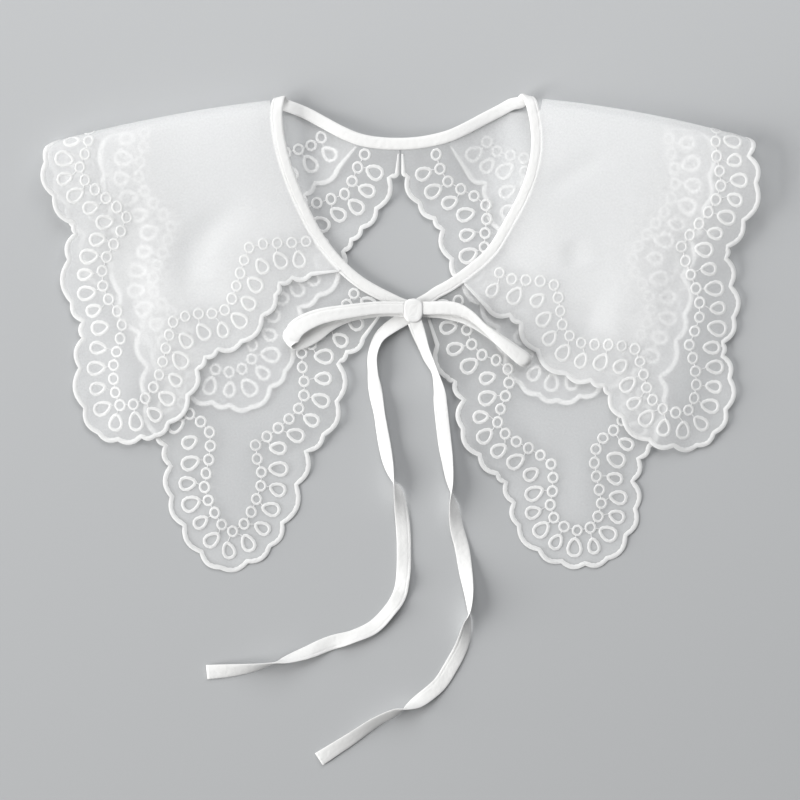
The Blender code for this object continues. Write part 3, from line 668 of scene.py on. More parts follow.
def chartBorder(tier):
    rings, drops, ways = [], [], []
    outline = cutOutline(tier)
    neck = neckEdge(tier)
    for index, lobe in enumerate(lobesOf(tier)):
        skip = index > 0
        line, way = insetLine(lobe, border["ringInset"], 0.0)
        rings.append(spacedAlong(line, way, border["ringPitch"], skip)[0])
        line, way = insetLine(lobe, border["dropInset"], border["dropFromApex"])
        places, directions = spacedAlong(line, way, border["dropPitch"], skip)
        drops.append(places)
        ways.append(directions)
    rings, drops, ways = np.vstack(rings), np.vstack(drops), np.vstack(ways)
    keepRing = isInside(rings, outline) & (lineReach(rings, neck)[0] > border["ringClear"])
    keepDrop = isInside(drops, outline) & (lineReach(drops, neck)[0] > border["dropClear"])
    return rings[keepRing], drops[keepDrop], ways[keepDrop]


charts = {(tier["side"], tier["name"]): chartBorder(tier) for tier in tiers}
print("stage: chart of", sum(len(chart[0]) for chart in charts.values()), "eyelets and",
      sum(len(chart[1]) for chart in charts.values()), "drops")


# ---------- materials ----------

def newMaterial(name):
    material = bpy.data.materials.new(name)
    material.use_nodes = True
    return material, material.node_tree.nodes, material.node_tree.links


def addNode(nodes, kind, **values):
    node = nodes.new(kind)
    for key, value in values.items():
        setattr(node, key, value)
    return node


def threadWave(nodes, links, vector, direction, scale, distortion):
    wave = addNode(nodes, "ShaderNodeTexWave", wave_type="BANDS", bands_direction=direction)
    wave.inputs["Scale"].default_value = scale
    wave.inputs["Distortion"].default_value = distortion
    wave.inputs["Detail"].default_value = 1.0
    links.new(vector, wave.inputs["Vector"])
    return wave.outputs["Fac"]


organza = {
    "threadPitch": 0.34,  # mm
    "colour": (0.948, 0.95, 0.951, 1.0),
    "coverLow": 0.41, "coverHigh": 0.64,
    "throughShare": 0.50, "shadowShare": 0.60,
}


# cover factors for the front and back panel of each tier; they differ by panel for brightness, not because the cloth
# differs, so they are partly painted light: the upper front's high value paints the brightness where the layers stack
panelVeilsAndLight = {"upper": (1.36, 0.90), "lower": (0.88, 0.90)}  # front and back panel

# patches of painted light and shade on the cloth's cover: x, y, direction in degrees, length, width, change; a
# negative change paints shade, a positive one paints light
backLightAndShade = (
    (-57.0, 108.0, 60, 100, 70, -0.52), (60.0, 96.0, 118, 84, 60, 0.25), (-98.0, -24.0, 8, 84, 50, -0.26),
)
frontLightAndShade = (
    (-168.0, -20.0, 95, 120, 44, 0.16), (-130.0, 20.0, 80, 110, 90, 0.12),
    (-138.0, -38.0, 100, 60, 24, -0.30), (125.0, 10.0, 95, 110, 90, 0.12),
    (172.0, -10.0, 88, 150, 40, -0.26), (155.0, -35.0, 84, 60, 24, -0.20),
)


def organzaMaterial():
    material, nodes, links = newMaterial("organza")
    nodes.remove(nodes["Principled BSDF"])
    cut = addNode(nodes, "ShaderNodeUVMap", uv_map="cut")
    millimetres = addNode(nodes, "ShaderNodeVectorMath", operation="SCALE")
    millimetres.inputs["Scale"].default_value = 1000.0
    links.new(cut.outputs["UV"], millimetres.inputs[0])
    scale = 2.0 * math.pi / (20.0 * organza["threadPitch"])
    warp = threadWave(nodes, links, millimetres.outputs["Vector"], "X", scale, 0.6)
    weft = threadWave(nodes, links, millimetres.outputs["Vector"], "Y", scale, 0.6)
    woven = addNode(nodes, "ShaderNodeMath", operation="MAXIMUM")
    links.new(warp, woven.inputs[0])
    links.new(weft, woven.inputs[1])
    slub = addNode(nodes, "ShaderNodeTexNoise")
    slub.inputs["Scale"].default_value = 0.9
    slub.inputs["Detail"].default_value = 3.0
    links.new(millimetres.outputs["Vector"], slub.inputs["Vector"])
    uneven = addNode(nodes, "ShaderNodeMapRange")
    uneven.inputs["From Min"].default_value = 0.3
    uneven.inputs["From Max"].default_value = 0.7
    uneven.inputs["To Min"].default_value = 0.95
    uneven.inputs["To Max"].default_value = 1.05
    links.new(slub.outputs["Fac"], uneven.inputs["Value"])
    cover = addNode(nodes, "ShaderNodeMapRange")
    cover.inputs["To Min"].default_value = organza["coverLow"]
    cover.inputs["To Max"].default_value = organza["coverHigh"]
    links.new(woven.outputs["Value"], cover.inputs["Value"])
    threads = addNode(nodes, "ShaderNodeMath", operation="MULTIPLY")
    links.new(cover.outputs["Result"], threads.inputs[0])
    links.new(uneven.outputs["Result"], threads.inputs[1])
    # the weave's cover times the panel attribute, which brings in the painted light and shade
    veilAndLight = addNode(nodes, "ShaderNodeAttribute", attribute_name="veilAndLight")
    coverAndPaintedLight = addNode(nodes, "ShaderNodeMath", operation="MULTIPLY")
    links.new(threads.outputs["Value"], coverAndPaintedLight.inputs[0])
    links.new(veilAndLight.outputs["Fac"], coverAndPaintedLight.inputs[1])
    # light gets through the open weave better than sight does, so its shadow is fainter
    path = addNode(nodes, "ShaderNodeLightPath")
    letThrough = addNode(nodes, "ShaderNodeMath", operation="MULTIPLY_ADD")
    links.new(path.outputs["Is Shadow Ray"], letThrough.inputs[0])
    letThrough.inputs[1].default_value = organza["shadowShare"] - 1.0
    letThrough.inputs[2].default_value = 1.0
    dense = addNode(nodes, "ShaderNodeMath", operation="MULTIPLY", use_clamp=True)
    links.new(coverAndPaintedLight.outputs["Value"], dense.inputs[0])
    links.new(letThrough.outputs["Value"], dense.inputs[1])
    bump = addNode(nodes, "ShaderNodeBump")
    bump.inputs["Strength"].default_value = 0.25
    bump.inputs["Distance"].default_value = 0.00006
    links.new(woven.outputs["Value"], bump.inputs["Height"])
    face = addNode(nodes, "ShaderNodeBsdfDiffuse")
    face.inputs["Color"].default_value = organza["colour"]
    through = addNode(nodes, "ShaderNodeBsdfTranslucent")
    through.inputs["Color"].default_value = organza["colour"]
    links.new(bump.outputs["Normal"], face.inputs["Normal"])
    thread = addNode(nodes, "ShaderNodeMixShader")
    thread.inputs["Fac"].default_value = organza["throughShare"]
    links.new(face.outputs["BSDF"], thread.inputs[1])
    links.new(through.outputs["BSDF"], thread.inputs[2])
    clear = addNode(nodes, "ShaderNodeBsdfTransparent")
    sheer = addNode(nodes, "ShaderNodeMixShader")
    links.new(dense.outputs["Value"], sheer.inputs["Fac"])
    links.new(clear.outputs["BSDF"], sheer.inputs[1])
    links.new(thread.outputs["Shader"], sheer.inputs[2])
    links.new(sheer.outputs["Shader"], nodes["Material Output"].inputs["Surface"])
    return material


def addThrough(material, share, colour):
    # thin threads pass part of the light on
    nodes, links = material.node_tree.nodes, material.node_tree.links
    through = addNode(nodes, "ShaderNodeBsdfTranslucent")
    through.inputs["Color"].default_value = colour
    both = addNode(nodes, "ShaderNodeMixShader")
    both.inputs["Fac"].default_value = share
    links.new(nodes["Principled BSDF"].outputs["BSDF"], both.inputs[1])
    links.new(through.outputs["BSDF"], both.inputs[2])
    links.new(both.outputs["Shader"], nodes["Material Output"].inputs["Surface"])


stitch = {"pitch": 0.42, "colour": (0.965, 0.965, 0.96, 1.0), "roughness": 0.52, "throughShare": 0.12}


def stitchMaterial():
    # satin stitch: threads run across the line that is stitched
    material, nodes, links = newMaterial("satinStitch")
    shader = nodes["Principled BSDF"]
    path = addNode(nodes, "ShaderNodeUVMap", uv_map="run")
    millimetres = addNode(nodes, "ShaderNodeVectorMath", operation="SCALE")
    millimetres.inputs["Scale"].default_value = 1000.0
    links.new(path.outputs["UV"], millimetres.inputs[0])
    scale = 2.0 * math.pi / (20.0 * stitch["pitch"])
    threads = threadWave(nodes, links, millimetres.outputs["Vector"], "X", scale, 1.2)
    tone = addNode(nodes, "ShaderNodeMapRange")
    tone.inputs["To Min"].default_value = 0.94
    tone.inputs["To Max"].default_value = 1.0
    links.new(threads, tone.inputs["Value"])
    tint = addNode(nodes, "ShaderNodeVectorMath", operation="SCALE")
    tint.inputs[0].default_value = stitch["colour"][:3]
    links.new(tone.outputs["Result"], tint.inputs["Scale"])
    links.new(tint.outputs["Vector"], shader.inputs["Base Color"])
    bump = addNode(nodes, "ShaderNodeBump")
    bump.inputs["Strength"].default_value = 0.6
    bump.inputs["Distance"].default_value = 0.00012
    links.new(threads, bump.inputs["Height"])
    links.new(bump.outputs["Normal"], shader.inputs["Normal"])
    shader.inputs["Roughness"].default_value = stitch["roughness"]
    shader.inputs["Sheen Weight"].default_value = 0.25
    shader.inputs["Sheen Roughness"].default_value = 0.4
    addThrough(material, stitch["throughShare"], stitch["colour"])
    return material


satin = {"colour": (0.895, 0.892, 0.882, 1.0), "roughness": 0.45, "twillPitch": 0.30,
         "evenness": 0.6}


def satinMaterial():
    material, nodes, links = newMaterial("satinBias")
    shader = nodes["Principled BSDF"]
    path = addNode(nodes, "ShaderNodeUVMap", uv_map="run")
    millimetres = addNode(nodes, "ShaderNodeVectorMath", operation="SCALE")
    millimetres.inputs["Scale"].default_value = 1000.0
    links.new(path.outputs["UV"], millimetres.inputs[0])
    scale = 2.0 * math.pi / (20.0 * satin["twillPitch"])
    twill = threadWave(nodes, links, millimetres.outputs["Vector"], "DIAGONAL", scale, 0.8)
    pucker = addNode(nodes, "ShaderNodeTexNoise")
    pucker.inputs["Scale"].default_value = 0.35
    pucker.inputs["Detail"].default_value = 2.0
    links.new(millimetres.outputs["Vector"], pucker.inputs["Vector"])
    fine = addNode(nodes, "ShaderNodeBump")
    fine.inputs["Strength"].default_value = 0.35
    fine.inputs["Distance"].default_value = 0.00004
    links.new(twill, fine.inputs["Height"])
    soft = addNode(nodes, "ShaderNodeBump")
    soft.inputs["Strength"].default_value = 0.6
    soft.inputs["Distance"].default_value = 0.0007
    links.new(pucker.outputs["Fac"], soft.inputs["Height"])
    links.new(fine.outputs["Normal"], soft.inputs["Normal"])
    # light scattered in the weave evens out the slopes
    lean = addNode(nodes, "ShaderNodeVectorMath", operation="ADD")
    lean.inputs[1].default_value = (0.0, 0.0, satin["evenness"])
    links.new(soft.outputs["Normal"], lean.inputs[0])
    even = addNode(nodes, "ShaderNodeVectorMath", operation="NORMALIZE")
    links.new(lean.outputs["Vector"], even.inputs[0])
    links.new(even.outputs["Vector"], shader.inputs["Normal"])
    tone = addNode(nodes, "ShaderNodeMapRange")
    tone.inputs["To Min"].default_value = 0.93
    tone.inputs["To Max"].default_value = 1.0
    links.new(twill, tone.inputs["Value"])
    tint = addNode(nodes, "ShaderNodeVectorMath", operation="SCALE")
    tint.inputs[0].default_value = satin["colour"][:3]
    links.new(tone.outputs["Result"], tint.inputs["Scale"])
    links.new(tint.outputs["Vector"], shader.inputs["Base Color"])
    shader.inputs["Roughness"].default_value = satin["roughness"]
    shader.inputs["Sheen Weight"].default_value = 0.3
    shader.inputs["Sheen Roughness"].default_value = 0.35
    return material


organzaCloth = organzaMaterial()
satinStitch = stitchMaterial()
satinBias = satinMaterial()


# ---------- organza panels ----------

def veilAndLightOver(tier, pattern):
    # how close the cloth looks, against an even 1: panel by panel, with patches of painted light and shade added on
    laid = layDown(tier, pattern)[0]
    front, back = panelVeilsAndLight[tier["name"]]
    share = ease(0.5 + pattern[:, 1] / 12.0)
    value = back * (1.0 - share) + front * share
    for patch in frontLightAndShade + backLightAndShade:
        x, y, turn, length, width, change = patch
        run = np.array([math.cos(math.radians(turn)), math.sin(math.radians(turn))])
        offset = laid - (x, y)
        away = np.hypot(offset @ run / (length / 2), offset @ (-run[1], run[0]) / (width / 2))
        value = value + change * ease(1.0 - away) * (1.0 - share if patch in backLightAndShade else share)
    return value


def makePanel(tier):
    outline = cutOutline(tier)
    low, high = outline.min(axis=0), outline.max(axis=0)
    step = cloth["lattice"]
    quarter = tier["quarter"]
    across = list(np.linspace(-quarter, quarter, cloth["rollRows"] + 1))
    across += list(np.arange(quarter + step, high[1], step))
    across += list(np.arange(-quarter - step, low[1], -step))
    along = np.arange(low[0] + step / 2, high[0], step)
    points = np.array([(s, q) for q in across for s in along])
    points = points[isInside(points, outline)]
    closed = np.vstack([outline, outline[:1]])
    points = points[lineReach(points, closed)[0] > 0.4 * step]
    flat = np.vstack([outline, points])
    cut = delaunay_2d_cdt([Vector(point) for point in flat], [], [list(range(len(outline)))], 1, 1e-4)
    pattern = np.array([tuple(vertex) for vertex in cut[0]])
    faces = [tuple(face) for face in cut[2]]
    name = f"{tier['side']}{tier['name'].capitalize()}Organza"
    mesh = bpy.data.meshes.new(name)
    mesh.from_pydata(toFrame(drape(tier, pattern)).tolist(), [], faces)
    corners = np.zeros(len(mesh.loops), int)
    mesh.loops.foreach_get("vertex_index", corners)
    layer = mesh.uv_layers.new(name="cut")
    layer.data.foreach_set("uv", (pattern[corners] * 0.001).ravel())
    # this attribute carries the cloth's cover together with the painted light and shade
    veilAndLight = mesh.attributes.new("veilAndLight", "FLOAT", "POINT")
    veilAndLight.data.foreach_set("value", veilAndLightOver(tier, pattern))
    bm = bmesh.new()
    bm.from_mesh(mesh)
    bmesh.ops.delete(bm, geom=[v for v in bm.verts if not v.link_faces], context="VERTS")
    bmesh.ops.recalc_face_normals(bm, faces=bm.faces)
    bm.to_mesh(mesh)
    bm.free()
    panel = makeObject(name, mesh, organzaCloth)
    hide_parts(f"{tier['side']}_{tier['name']}_tier")
    ends = np.roll(outline, -1, axis=0)
    area = 0.5 * abs(np.sum(outline[:, 0] * ends[:, 1] - ends[:, 0] * outline[:, 1])) * 1e-6
    size = (high - low) * 0.001
    return panel, (float(size[0]), float(size[1])), float(area)


# ---------- satin stitch ----------

def joinedMesh(name, blocks, material):
    # blocks: rows x columns of points in metres with their run and side along the stitch line
    places, faces, runs = [], [], []
    start = 0
    for points, run, isRing in blocks:
        rows, columns = points.shape[:2]
        places.append(points.reshape(-1, 3))
        lastRow = rows if isRing else rows - 1
        for row in range(lastRow):
            following = (row + 1) % rows
            for column in range(columns):
                beside = (column + 1) % columns
                faces.append((start + row * columns + column, start + row * columns + beside,
                              start + following * columns + beside, start + following * columns + column))
                u0, u1 = run[row], run[row + 1] if row + 1 < len(run) else run[row] + run[1] - run[0]
                v0, v1 = column / columns * 0.004, (column + 1) / columns * 0.004
                runs += [(u0, v0), (u0, v1), (u1, v1), (u1, v0)]
        if not isRing:
            faces.append(tuple(start + column for column in reversed(range(columns))))
            faces.append(tuple(start + (rows - 1) * columns + column for column in range(columns)))
            runs += [(run[0], 0.0)] * columns + [(run[-1], 0.0)] * columns
        start += rows * columns
    mesh = bpy.data.meshes.new(name)
    mesh.from_pydata(np.vstack(places).tolist(), [], faces)
    layer = mesh.uv_layers.new(name="run")
    layer.data.foreach_set("uv", np.array(runs).ravel())
    bm = bmesh.new()
    bm.from_mesh(mesh)
    bmesh.ops.recalc_face_normals(bm, faces=bm.faces)
    bm.to_mesh(mesh)
    bm.free()
    piece = makeObject(name, mesh, material)
    mesh.set_sharp_from_angle(angle=math.radians(50.0))
    return piece


def stitchBlocks(tier, shapes, profile, isRing):
    # shapes: list of middle lines (rows x 2) with side directions; profile: side, lift
    stacked, lifts, sizes = [], [], []
    for line, sideways in shapes:
        uneven = 1.0 + border["zigzag"] * (-1.0) ** np.arange(len(line))[:, None]
        for side, lift in profile:
            stacked.append(line + sideways * side * (uneven if side == profile[0][0] else 1.0))
            lifts.append(np.full(len(line), lift))
        sizes.append(len(line))
    points = toFrame(drapeRaised(tier, np.vstack(stacked), np.concatenate(lifts)))
    blocks, start = [], 0
    for (line, _), size in zip(shapes, sizes):
        block = points[start:start + size * len(profile)].reshape(len(profile), size, 3).transpose(1, 0, 2)
        steps = np.linalg.norm(np.diff(line, axis=0), axis=1)
        run = np.concatenate([[0.0], np.cumsum(steps)]) * 0.001
        blocks.append((block, run, isRing))
        start += size * len(profile)
    return blocks


def sideways(line, isRing):
    if isRing:
        run = np.roll(line, -1, axis=0) - np.roll(line, 1, axis=0)
    else:
        run = np.gradient(line, axis=0)
    run /= np.linalg.norm(run, axis=1)[:, None]
    return np.column_stack([-run[:, 1], run[:, 0]])


def ringLine(centre):
    turn = np.linspace(0.0, 2.0 * math.pi, 16, endpoint=False)
    wide = border["ringRadius"] * random.uniform(0.92, 1.02)
    tall = border["ringRadius"] * random.uniform(0.98, 1.10)
    return centre + np.column_stack([wide * np.cos(turn), tall * np.sin(turn)])


def dropLine(centre, way, scale):
    # pointed towards the eyelets, round towards the edge
    turn = np.linspace(0.0, 2.0 * math.pi, 22, endpoint=False)
    length = border["dropLength"] / 2 * scale
    width = border["dropWidth"] / 2 * scale * random.uniform(0.95, 1.06)
    x = length * np.cos(turn)
    y = width * np.sin(turn) * (1.0 - 0.28 * np.cos(turn)) / 1.03
    lean = random.uniform(-0.14, 0.14)
    way = np.array([way[0] * math.cos(lean) - way[1] * math.sin(lean),
                    way[0] * math.sin(lean) + way[1] * math.cos(lean)])
    across = np.array([-way[1], way[0]])
    return centre + x[:, None] * way + y[:, None] * across


def makeEmbroidery(tier):
    rings, drops, ways = charts[tier["side"], tier["name"]]
    half, height = border["ringHalfWidth"], border["ringHeight"]
    foot, back = border["threadFoot"], border["threadBack"]
    ringProfile = ((-half, foot), (0.0, height), (half, foot))
    shapes = [(line, sideways(line, True)) for line in map(ringLine, rings)]
    blocks = stitchBlocks(tier, shapes, ringProfile, True)
    half, height = border["dropHalfWidth"], border["dropHeight"]
    dropProfile = ((-half, foot), (0.1 * half, height), (half, foot))
    shapes = []
    for index, (drop, way) in enumerate(zip(drops, ways)):
        scale = (1.07 if index % 2 else 0.93) * random.uniform(0.94, 1.06)
        line = dropLine(drop, way, scale)
        shapes.append((line, sideways(line, True)))
    blocks += stitchBlocks(tier, shapes, dropProfile, True)
    # jump threads from each eyelet to the next, and from each drop to its nearest eyelet
    shapes = []
    threads = []
    for a, b in zip(rings[:-1], rings[1:]):
        gap = np.linalg.norm(b - a)
        if 2.2 * border["ringRadius"] < gap < 1.5 * border["ringPitch"]:
            threads.append((a + (b - a) * border["ringRadius"] / gap, b + (a - b) * border["ringRadius"] / gap))
    for drop, way in zip(drops, ways):
        tip = drop + way * border["dropLength"] * 0.5
        nearest = rings[np.argmin(np.linalg.norm(rings - tip, axis=1))]
        gap = np.linalg.norm(nearest - tip)
        if 1.3 * border["ringRadius"] < gap < 7.0:
            threads.append((tip, nearest + (tip - nearest) * border["ringRadius"] / gap))
    for start, end in threads:
        share = np.linspace(0.0, 1.0, 4)[:, None]
        line = start * (1.0 - share) + end * share
        shapes.append((line, sideways(line, False)))
    r = border["jumpRadius"]
    blocks += stitchBlocks(tier, shapes, ((-r, 0.05), (0.0, 0.05 + r), (r, 0.05)), False)
    # scalloped edge
    line = scallopLine(flatCusps(tier))
    half, height = border["edgeWidth"] / 2, border["edgeHeight"]
    side = sideways(line, False)
    ends = np.minimum(runOf(line), runOf(line)[-1] - runOf(line))
    side = side * (border["edgeTaper"] + (1.0 - border["edgeTaper"]) * ease(ends / 14.0))[:, None]
    line = line - side * half * 0.85
    profile = ((-half, foot), (-0.4 * half, 0.85 * height), (0.6 * half, height), (half, foot),
               (0.6 * half, -back), (-0.4 * half, -back))
    blocks += stitchBlocks(tier, [(line, side)], profile, False)
    name = f"{tier['side']}{tier['name'].capitalize()}Embroidery"
    work = joinedMesh(name, blocks, satinStitch)
    return work


for tier in tiers:
    panel, flatSize, flatArea = makePanel(tier)
    work = makeEmbroidery(tier)
    print("stage:", panel.name, len(panel.data.polygons), "faces, embroidery", len(work.data.polygons))


# ---------- binding, bow and ties ----------

tie = {"width": 7.9, "loopWidth": 8.9, "wall": 0.9, "loopWall": 1.3, "step": 1.5, "seam": -0.62}
bindingLook = {"width": 6.6, "wall": 1.5, "seam": -0.56, "step": 1.5, "stitchLength": 1.9, "stitchGap": 0.8,
               "startRow": (4.6, 15.4, -1.6, 66), "endRow": (10.6, 17.0, -1.6, 126)}


def stripSection(run, width, wall, seam, pucker):
    # sections of a pressed bias tube along its run: side, lift in mm, from its sewn edge all round
    top = np.array((-1.0, -0.96, -0.86, -0.74, seam - 0.07, seam, seam + 0.07, -0.35, -0.1, 0.2, 0.5, 0.74, 0.9, 0.98, 1.0))
    bottom = np.array((0.97, 0.82, 0.5, 0.0, -0.5, -0.82, -0.97, -1.0))
    across = np.concatenate([np.sort(top), bottom])
    swell = np.maximum(1.0 - np.abs(across) ** 5.0, 0.0) ** 0.55
    lift = np.where(np.arange(len(across)) < len(top), swell, -swell)
    lift[0], lift[-1] = 0.10, -0.10
    onTop = np.arange(len(across)) < len(top)
    dip = 0.42 * np.exp(-((across - seam) / 0.06) ** 2) * onTop
    waves = 0.5 * np.sin(run / 1.15 + 2.0 * np.sin(run / 7.0)) + 0.5 * np.sin(run / 2.3 + 1.0)
    flats = np.exp(-((across - seam) / 0.30) ** 2) * onTop
    lifts = lift - dip + pucker * waves[:, None] * flats
    return np.stack([np.broadcast_to(across * width / 2, lifts.shape), lifts * wall / 2], axis=2)


def stripFrame(path, tilt):
    # side and face directions along a path
    tangents = np.gradient(path[:, :3], axis=0)
    tangents /= np.linalg.norm(tangents, axis=1)[:, None]
    turn, lean = np.radians(path[:, 3]), np.radians(tilt)
    level = np.column_stack([np.cos(turn), np.sin(turn), np.zeros(len(turn))])
    level -= tangents * np.sum(level * tangents, axis=1)[:, None]
    level /= np.linalg.norm(level, axis=1)[:, None]
    face = np.cross(tangents, level)
    across = level * np.cos(lean)[:, None] + face * np.sin(lean)[:, None]
    normal = np.cross(tangents, across)
    return across, normal * (1.0 if normal[:, 2].sum() > 0.0 else -1.0)


def loftStrip(name, path, tilt, section, isOpen, tuck=None):
    # a grid wrapped into a tube along the path, which stays open along its sewn edge where
    # the piece is a folded strip; tuck draws the two edges of a row along a direction
    across, normal = stripFrame(path, tilt)
    points = path[:, None, :3] + across[:, None] * section[:, :, :1] + normal[:, None] * section[:, :, 1:2]
    if tuck is not None:
        share = section[:, :, :1] / np.abs(section[:, :, :1]).max()
        points = points + tuck[:, None, :] * share ** 2
    rows, columns = points.shape[:2]
    run = runOf(path[:, :3]) * 0.001
    wrap = columns - 1 if isOpen else columns
    bm = bmesh.new()
    bmesh.ops.create_grid(bm, x_segments=wrap, y_segments=rows - 1, size=1.0)
    bm.verts.ensure_lookup_table()
    flat = toFrame(points.reshape(-1, 3)).reshape(rows, columns, 3)
    girth = runOf(np.vstack([section[0], section[0][:1]])) * 0.001
    uv = bm.loops.layers.uv.new("run")
    for index, vertex in enumerate(bm.verts):
        row, column = divmod(index, wrap + 1)
        vertex.co = flat[row, column % columns]
    for polygon in bm.faces:
        for loop in polygon.loops:
            row, column = divmod(loop.vert.index, wrap + 1)
            loop[uv].uv = (run[row], girth[column])
    bmesh.ops.remove_doubles(bm, verts=bm.verts, dist=1e-7)
    if not isOpen:
        bmesh.ops.holes_fill(bm, edges=[edge for edge in bm.edges if edge.is_boundary], sides=0)
    bmesh.ops.recalc_face_normals(bm, faces=bm.faces)
    mesh = bpy.data.meshes.new(name)
    bm.to_mesh(mesh)
    bm.free()
    return makeObject(name, mesh, satinBias), float(girth[wrap]), float(run[-1])


def seamStitches(name, path, tilt, side, lift):
    # short machine stitches lying in the groove of a seam
    across, normal = stripFrame(path, tilt)
    seam = path[:, :3] + across * side + normal * lift
    run = runOf(seam)
    pitch = bindingLook["stitchLength"] + bindingLook["stitchGap"]
    blocks = []
    for start in np.arange(4.0, run[-1] - 4.0, pitch):
        places = start + np.linspace(0.0, bindingLook["stitchLength"], 4)
        middle = np.column_stack([np.interp(places, run, seam[:, k]) for k in range(3)])
        sideways = np.column_stack([np.interp(places, run, across[:, k]) for k in range(3)])
        upward = np.column_stack([np.interp(places, run, normal[:, k]) for k in range(3)])
        size = 0.17 * np.array((0.35, 1.0, 1.0, 0.35))[:, None]
        ring = [middle + sideways * size * c + upward * size * d for c, d in ((-1, 0), (0, 1), (1, 0), (0, -1))]
        blocks.append((toFrame(np.stack(ring, axis=1).reshape(-1, 3)).reshape(4, 4, 3), (places - start) * 0.001, False))
    return joinedMesh(name, blocks, satinStitch)


def makeBinding():
    first, last = bindingLook["startRow"], bindingLook["endRow"]
    ends = [(x, y, line[2] + drop, turn) for (x, y, drop, turn), line in ((first, neckLine[0]), (last, neckLine[-1]))]
    path = smoothLine(np.vstack([ends[0], neckLine, ends[1]]), bindingLook["step"])
    run = runOf(path[:, :3])
    level = np.zeros(len(path))
    section = stripSection(run, bindingLook["width"], bindingLook["wall"], bindingLook["seam"], 0.10)
    shell, girth, length = loftStrip("neckBindingSatin", path, level, section, True)
    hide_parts("neck_binding")
    groove = bindingLook["seam"] * bindingLook["width"] / 2
    stitches = seamStitches("neckBindingStitches", path, level, groove, 0.30 * bindingLook["wall"])


makeBinding()

# bow loops and tie ends: x, y, z, direction of the width in degrees, its tilt
leftLoopRows = (
    (2.0, 14.6, 8.0, 270, 0), (-12.7, 14.5, 8.9, 268, 0), (-27.5, 12.7, 9.9, 265, 4),
    (-42.9, 10.0, 10.4, 276, 8), (-54.0, 5.2, 10.4, 296, 8), (-61.6, -1.4, 9.4, 310, 6),
    (-62.8, -3.4, 7.2, 310, 2), (-57.5, -4.4, 5.5, 300, 0), (-47.5, -0.6, 5.4, 303, 0),
    (-38.0, 6.2, 5.6, 300, 0), (-26.4, 10.8, 5.7, 284, 0), (-10.0, 13.2, 5.8, 276, 0), (2.0, 12.8, 5.8, 274, 0),
)
rightLoopRows = (
    (12.8, 14.4, 8.0, 270, 0), (28.6, 14.2, 9.4, 266, 10), (38.0, 10.6, 10.2, 240, 36),
    (46.5, 3.4, 10.4, 232, 48), (57.0, -5.6, 10.6, 228, 22), (68.8, -14.6, 8.8, 222, 4),
    (70.4, -15.6, 6.8, 222, 2), (64.5, -10.8, 5.8, 226, 0), (51.5, -0.8, 5.7, 231, 18),
    (38.0, 7.8, 5.7, 242, 18), (25.0, 11.8, 5.7, 256, 0), (12.8, 13.0, 5.8, 262, 0),
)
loopTuck = {"left": (3.6, 1.9, 0.0), "right": (-1.8, 1.5, 0.0)}
# how wide the loops lie: share of the run, share of the width
loopSpread = {
    "left": ((0.0, 0.74), (0.15, 0.80), (0.28, 0.92), (0.42, 1.12), (0.5, 1.15), (0.6, 1.0), (0.8, 0.8), (1.0, 0.74)),
    "right": ((0.0, 0.80), (0.12, 0.84), (0.26, 0.64), (0.36, 0.70), (0.47, 0.92), (0.53, 0.92), (0.7, 0.7), (1.0, 0.78)),
}
leftTailRows = (
    (6.6, 11.4, 2.6, -48, 0), (-6.4, 3.2, 2.8, -38, 24), (-12.1, -2.6, 3.4, -20, 42),
    (-15.1, -11.3, 3.8, -8, 49), (-14.9, -21.2, 3.5, 0, 44), (-13.5, -31.1, 2.2, 4, 21),
    (-11.3, -43.7, 3.1, 6, 39), (-8.8, -58.6, 2.8, 6, 31), (-6.6, -70.1, 3.5, 8, 44),
    (-3.9, -80.0, 4.6, 10, 82), (-0.8, -87.7, 3.8, 8, 131), (1.7, -105.9, 1.1, 2, 176),
    (2.2, -123.5, 1.0, -2, 180), (1.4, -135.6, 2.1, -14, 198), (-0.6, -143.8, 1.4, -35, 186),
    (-5.2, -151.0, 2.4, -52, 204), (-14.3, -160.6, 1.9, -58, 198),
    (-26.4, -166.1, 2.6, -68, 209), (-38.5, -169.7, 1.0, -72, 181),
    (-50.6, -174.6, 2.6, -70, 209), (-62.2, -178.5, 4.4, -76, 242),
    (-68.2, -180.1, 4.7, -80, 270), (-80.3, -182.9, 3.8, -82, 305),
    (-92.4, -184.5, 2.6, -84, 331), (-106.2, -185.6, 1.0, -76, 358),
)
rightTailRows = (
    (8.0, 7.0, 6.8, 4, 0), (12.7, -6.3, 4.4, 16, 42), (15.4, -13.0, 4.1, 22, 50),
    (19.3, -21.2, 4.4, 24, 64), (21.7, -31.1, 3.1, 12, 39), (22.3, -38.8, 2.2, 4, 21),
    (24.5, -58.6, 2.2, 6, 21), (26.1, -70.1, 3.1, 8, 39), (27.5, -81.7, 4.4, 8, 66),
    (29.2, -93.8, 4.0, 10, 124), (31.1, -105.9, 2.1, 12, 159), (34.1, -117.4, 1.0, 12, 180),
    (36.0, -129.5, 2.1, 9, 200), (37.7, -141.6, 3.6, 4, 230), (38.0, -152.1, 4.6, -3, 262),
    (36.9, -159.2, 4.0, -12, 305), (33.8, -171.3, 2.1, -22, 339),
    (27.5, -183.4, 1.0, -32, 359), (21.2, -192.8, 1.0, -42, 361),
    (11.0, -201.0, 2.4, -56, 386), (4.4, -204.6, 4.2, -64, 430),
    (-2.4, -207.4, 4.2, -62, 482), (-13.2, -212.8, 3.4, -57, 496),
    (-25.9, -221.4, 2.8, -55, 511), (-38.5, -229.6, 1.8, -54, 526),
    (-44.6, -233.5, 1.1, -52, 538),
)


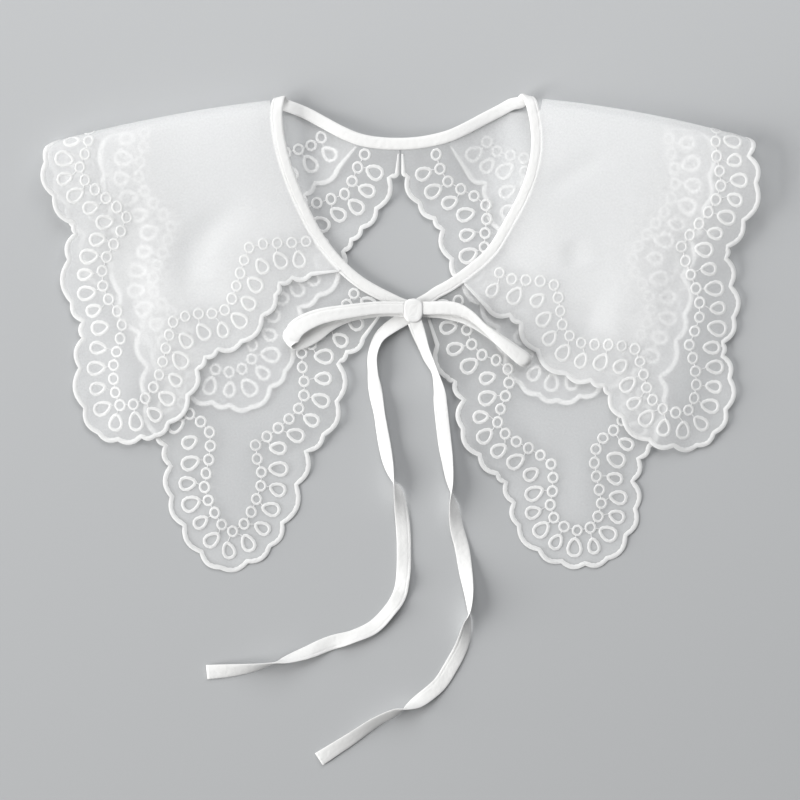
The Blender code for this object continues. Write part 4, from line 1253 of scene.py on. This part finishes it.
def makeTie(name, rows, node, width, wall, isOpen, tuck=None, spread=None):
    path = smoothLine(rows, tie["step"])
    run = runOf(path[:, :3])
    section = stripSection(run, width, wall, tie["seam"], 0.12)
    if spread is not None:
        shares, factors = np.array(spread).T
        section[:, :, 0] *= np.interp(run / run[-1], shares, factors)[:, None]
        crease = np.exp(-((section[:, :, 0] / width - 0.10) / 0.07) ** 2) * ease(1.0 - abs(run / run[-1] - 0.22) / 0.2)[:, None]
        section[:, :, 1] -= np.where(section[:, :, 1] > 0.0, 0.35 * crease, 0.0)
    if tuck is not None:
        turning = np.abs(run - run[np.argmax(np.abs(path[:, 0] - 7.0))])
        tuck = np.exp(-(turning / 6.0) ** 2)[:, None] * np.array(tuck)
    piece, girth, length = loftStrip(name, path, path[:, 4], section, isOpen, tuck)
    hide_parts(node)
    return piece, path, girth, length


for side, rows in (("left", leftLoopRows), ("right", rightLoopRows)):
    piece, path, girth, length = makeTie(f"bowLoop{side.capitalize()}", rows, f"bow_loop_{side}",
                                         tie["loopWidth"], tie["loopWall"], True, loopTuck[side], loopSpread[side])

for side, rows in (("left", leftTailRows), ("right", rightTailRows)):
    piece, path, girth, length = makeTie(f"tie{side.capitalize()}", rows, f"tail_{side}",
                                         tie["width"], tie["wall"], False)
    middle = toFrame(path[:, :3])
print("stage: binding, bow and ties")

knot = {"centre": (7.3, 13.1, 6.1), "size": (10.6, 12.6, 5.9), "square": 0.36,
        "creases": ((-0.30, 0.22, 0.10, 0.14), (0.16, 0.30, 0.12, 0.18))}


def makeKnot():
    # a soft square wrap; creases: place across, slant, half-width, depth in mm
    bm = bmesh.new()
    bmesh.ops.create_uvsphere(bm, u_segments=48, v_segments=32, radius=0.5)
    uv = bm.loops.layers.uv.new("run")
    for polygon in bm.faces:
        for loop in polygon.loops:
            x, y, z = loop.vert.co
            loop[uv].uv = (math.atan2(z, y) * 0.004, x * 0.010)
    for vertex in bm.verts:
        direction = np.array(vertex.co) * 2.0
        shaped = np.sign(direction) * np.abs(direction) ** knot["square"] / 2.0
        shaped[0] *= 1.0 - 0.22 * abs(2.0 * shaped[1]) ** 3 + 0.05 * math.sin(5.0 * shaped[1] + 1.0)
        shaped[1] *= 1.0 + 0.06 * math.cos(7.0 * shaped[0])
        place = np.array(knot["centre"]) + shaped * knot["size"]
        for across, slant, width, depth in knot["creases"]:
            away = (shaped[0] - across - slant * shaped[1]) / width
            place[2] -= depth * math.exp(-away * away) * np.sign(shaped[2]) * min(1.0, abs(shaped[2]) * 4.0)
        vertex.co = toFrame([place])[0]
    bmesh.ops.recalc_face_normals(bm, faces=bm.faces)
    mesh = bpy.data.meshes.new("bowKnotSatin")
    bm.to_mesh(mesh)
    bm.free()
    piece = makeObject("bowKnotSatin", mesh, satinBias)
    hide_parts("bow_knot")


makeKnot()
print("stage: knot")
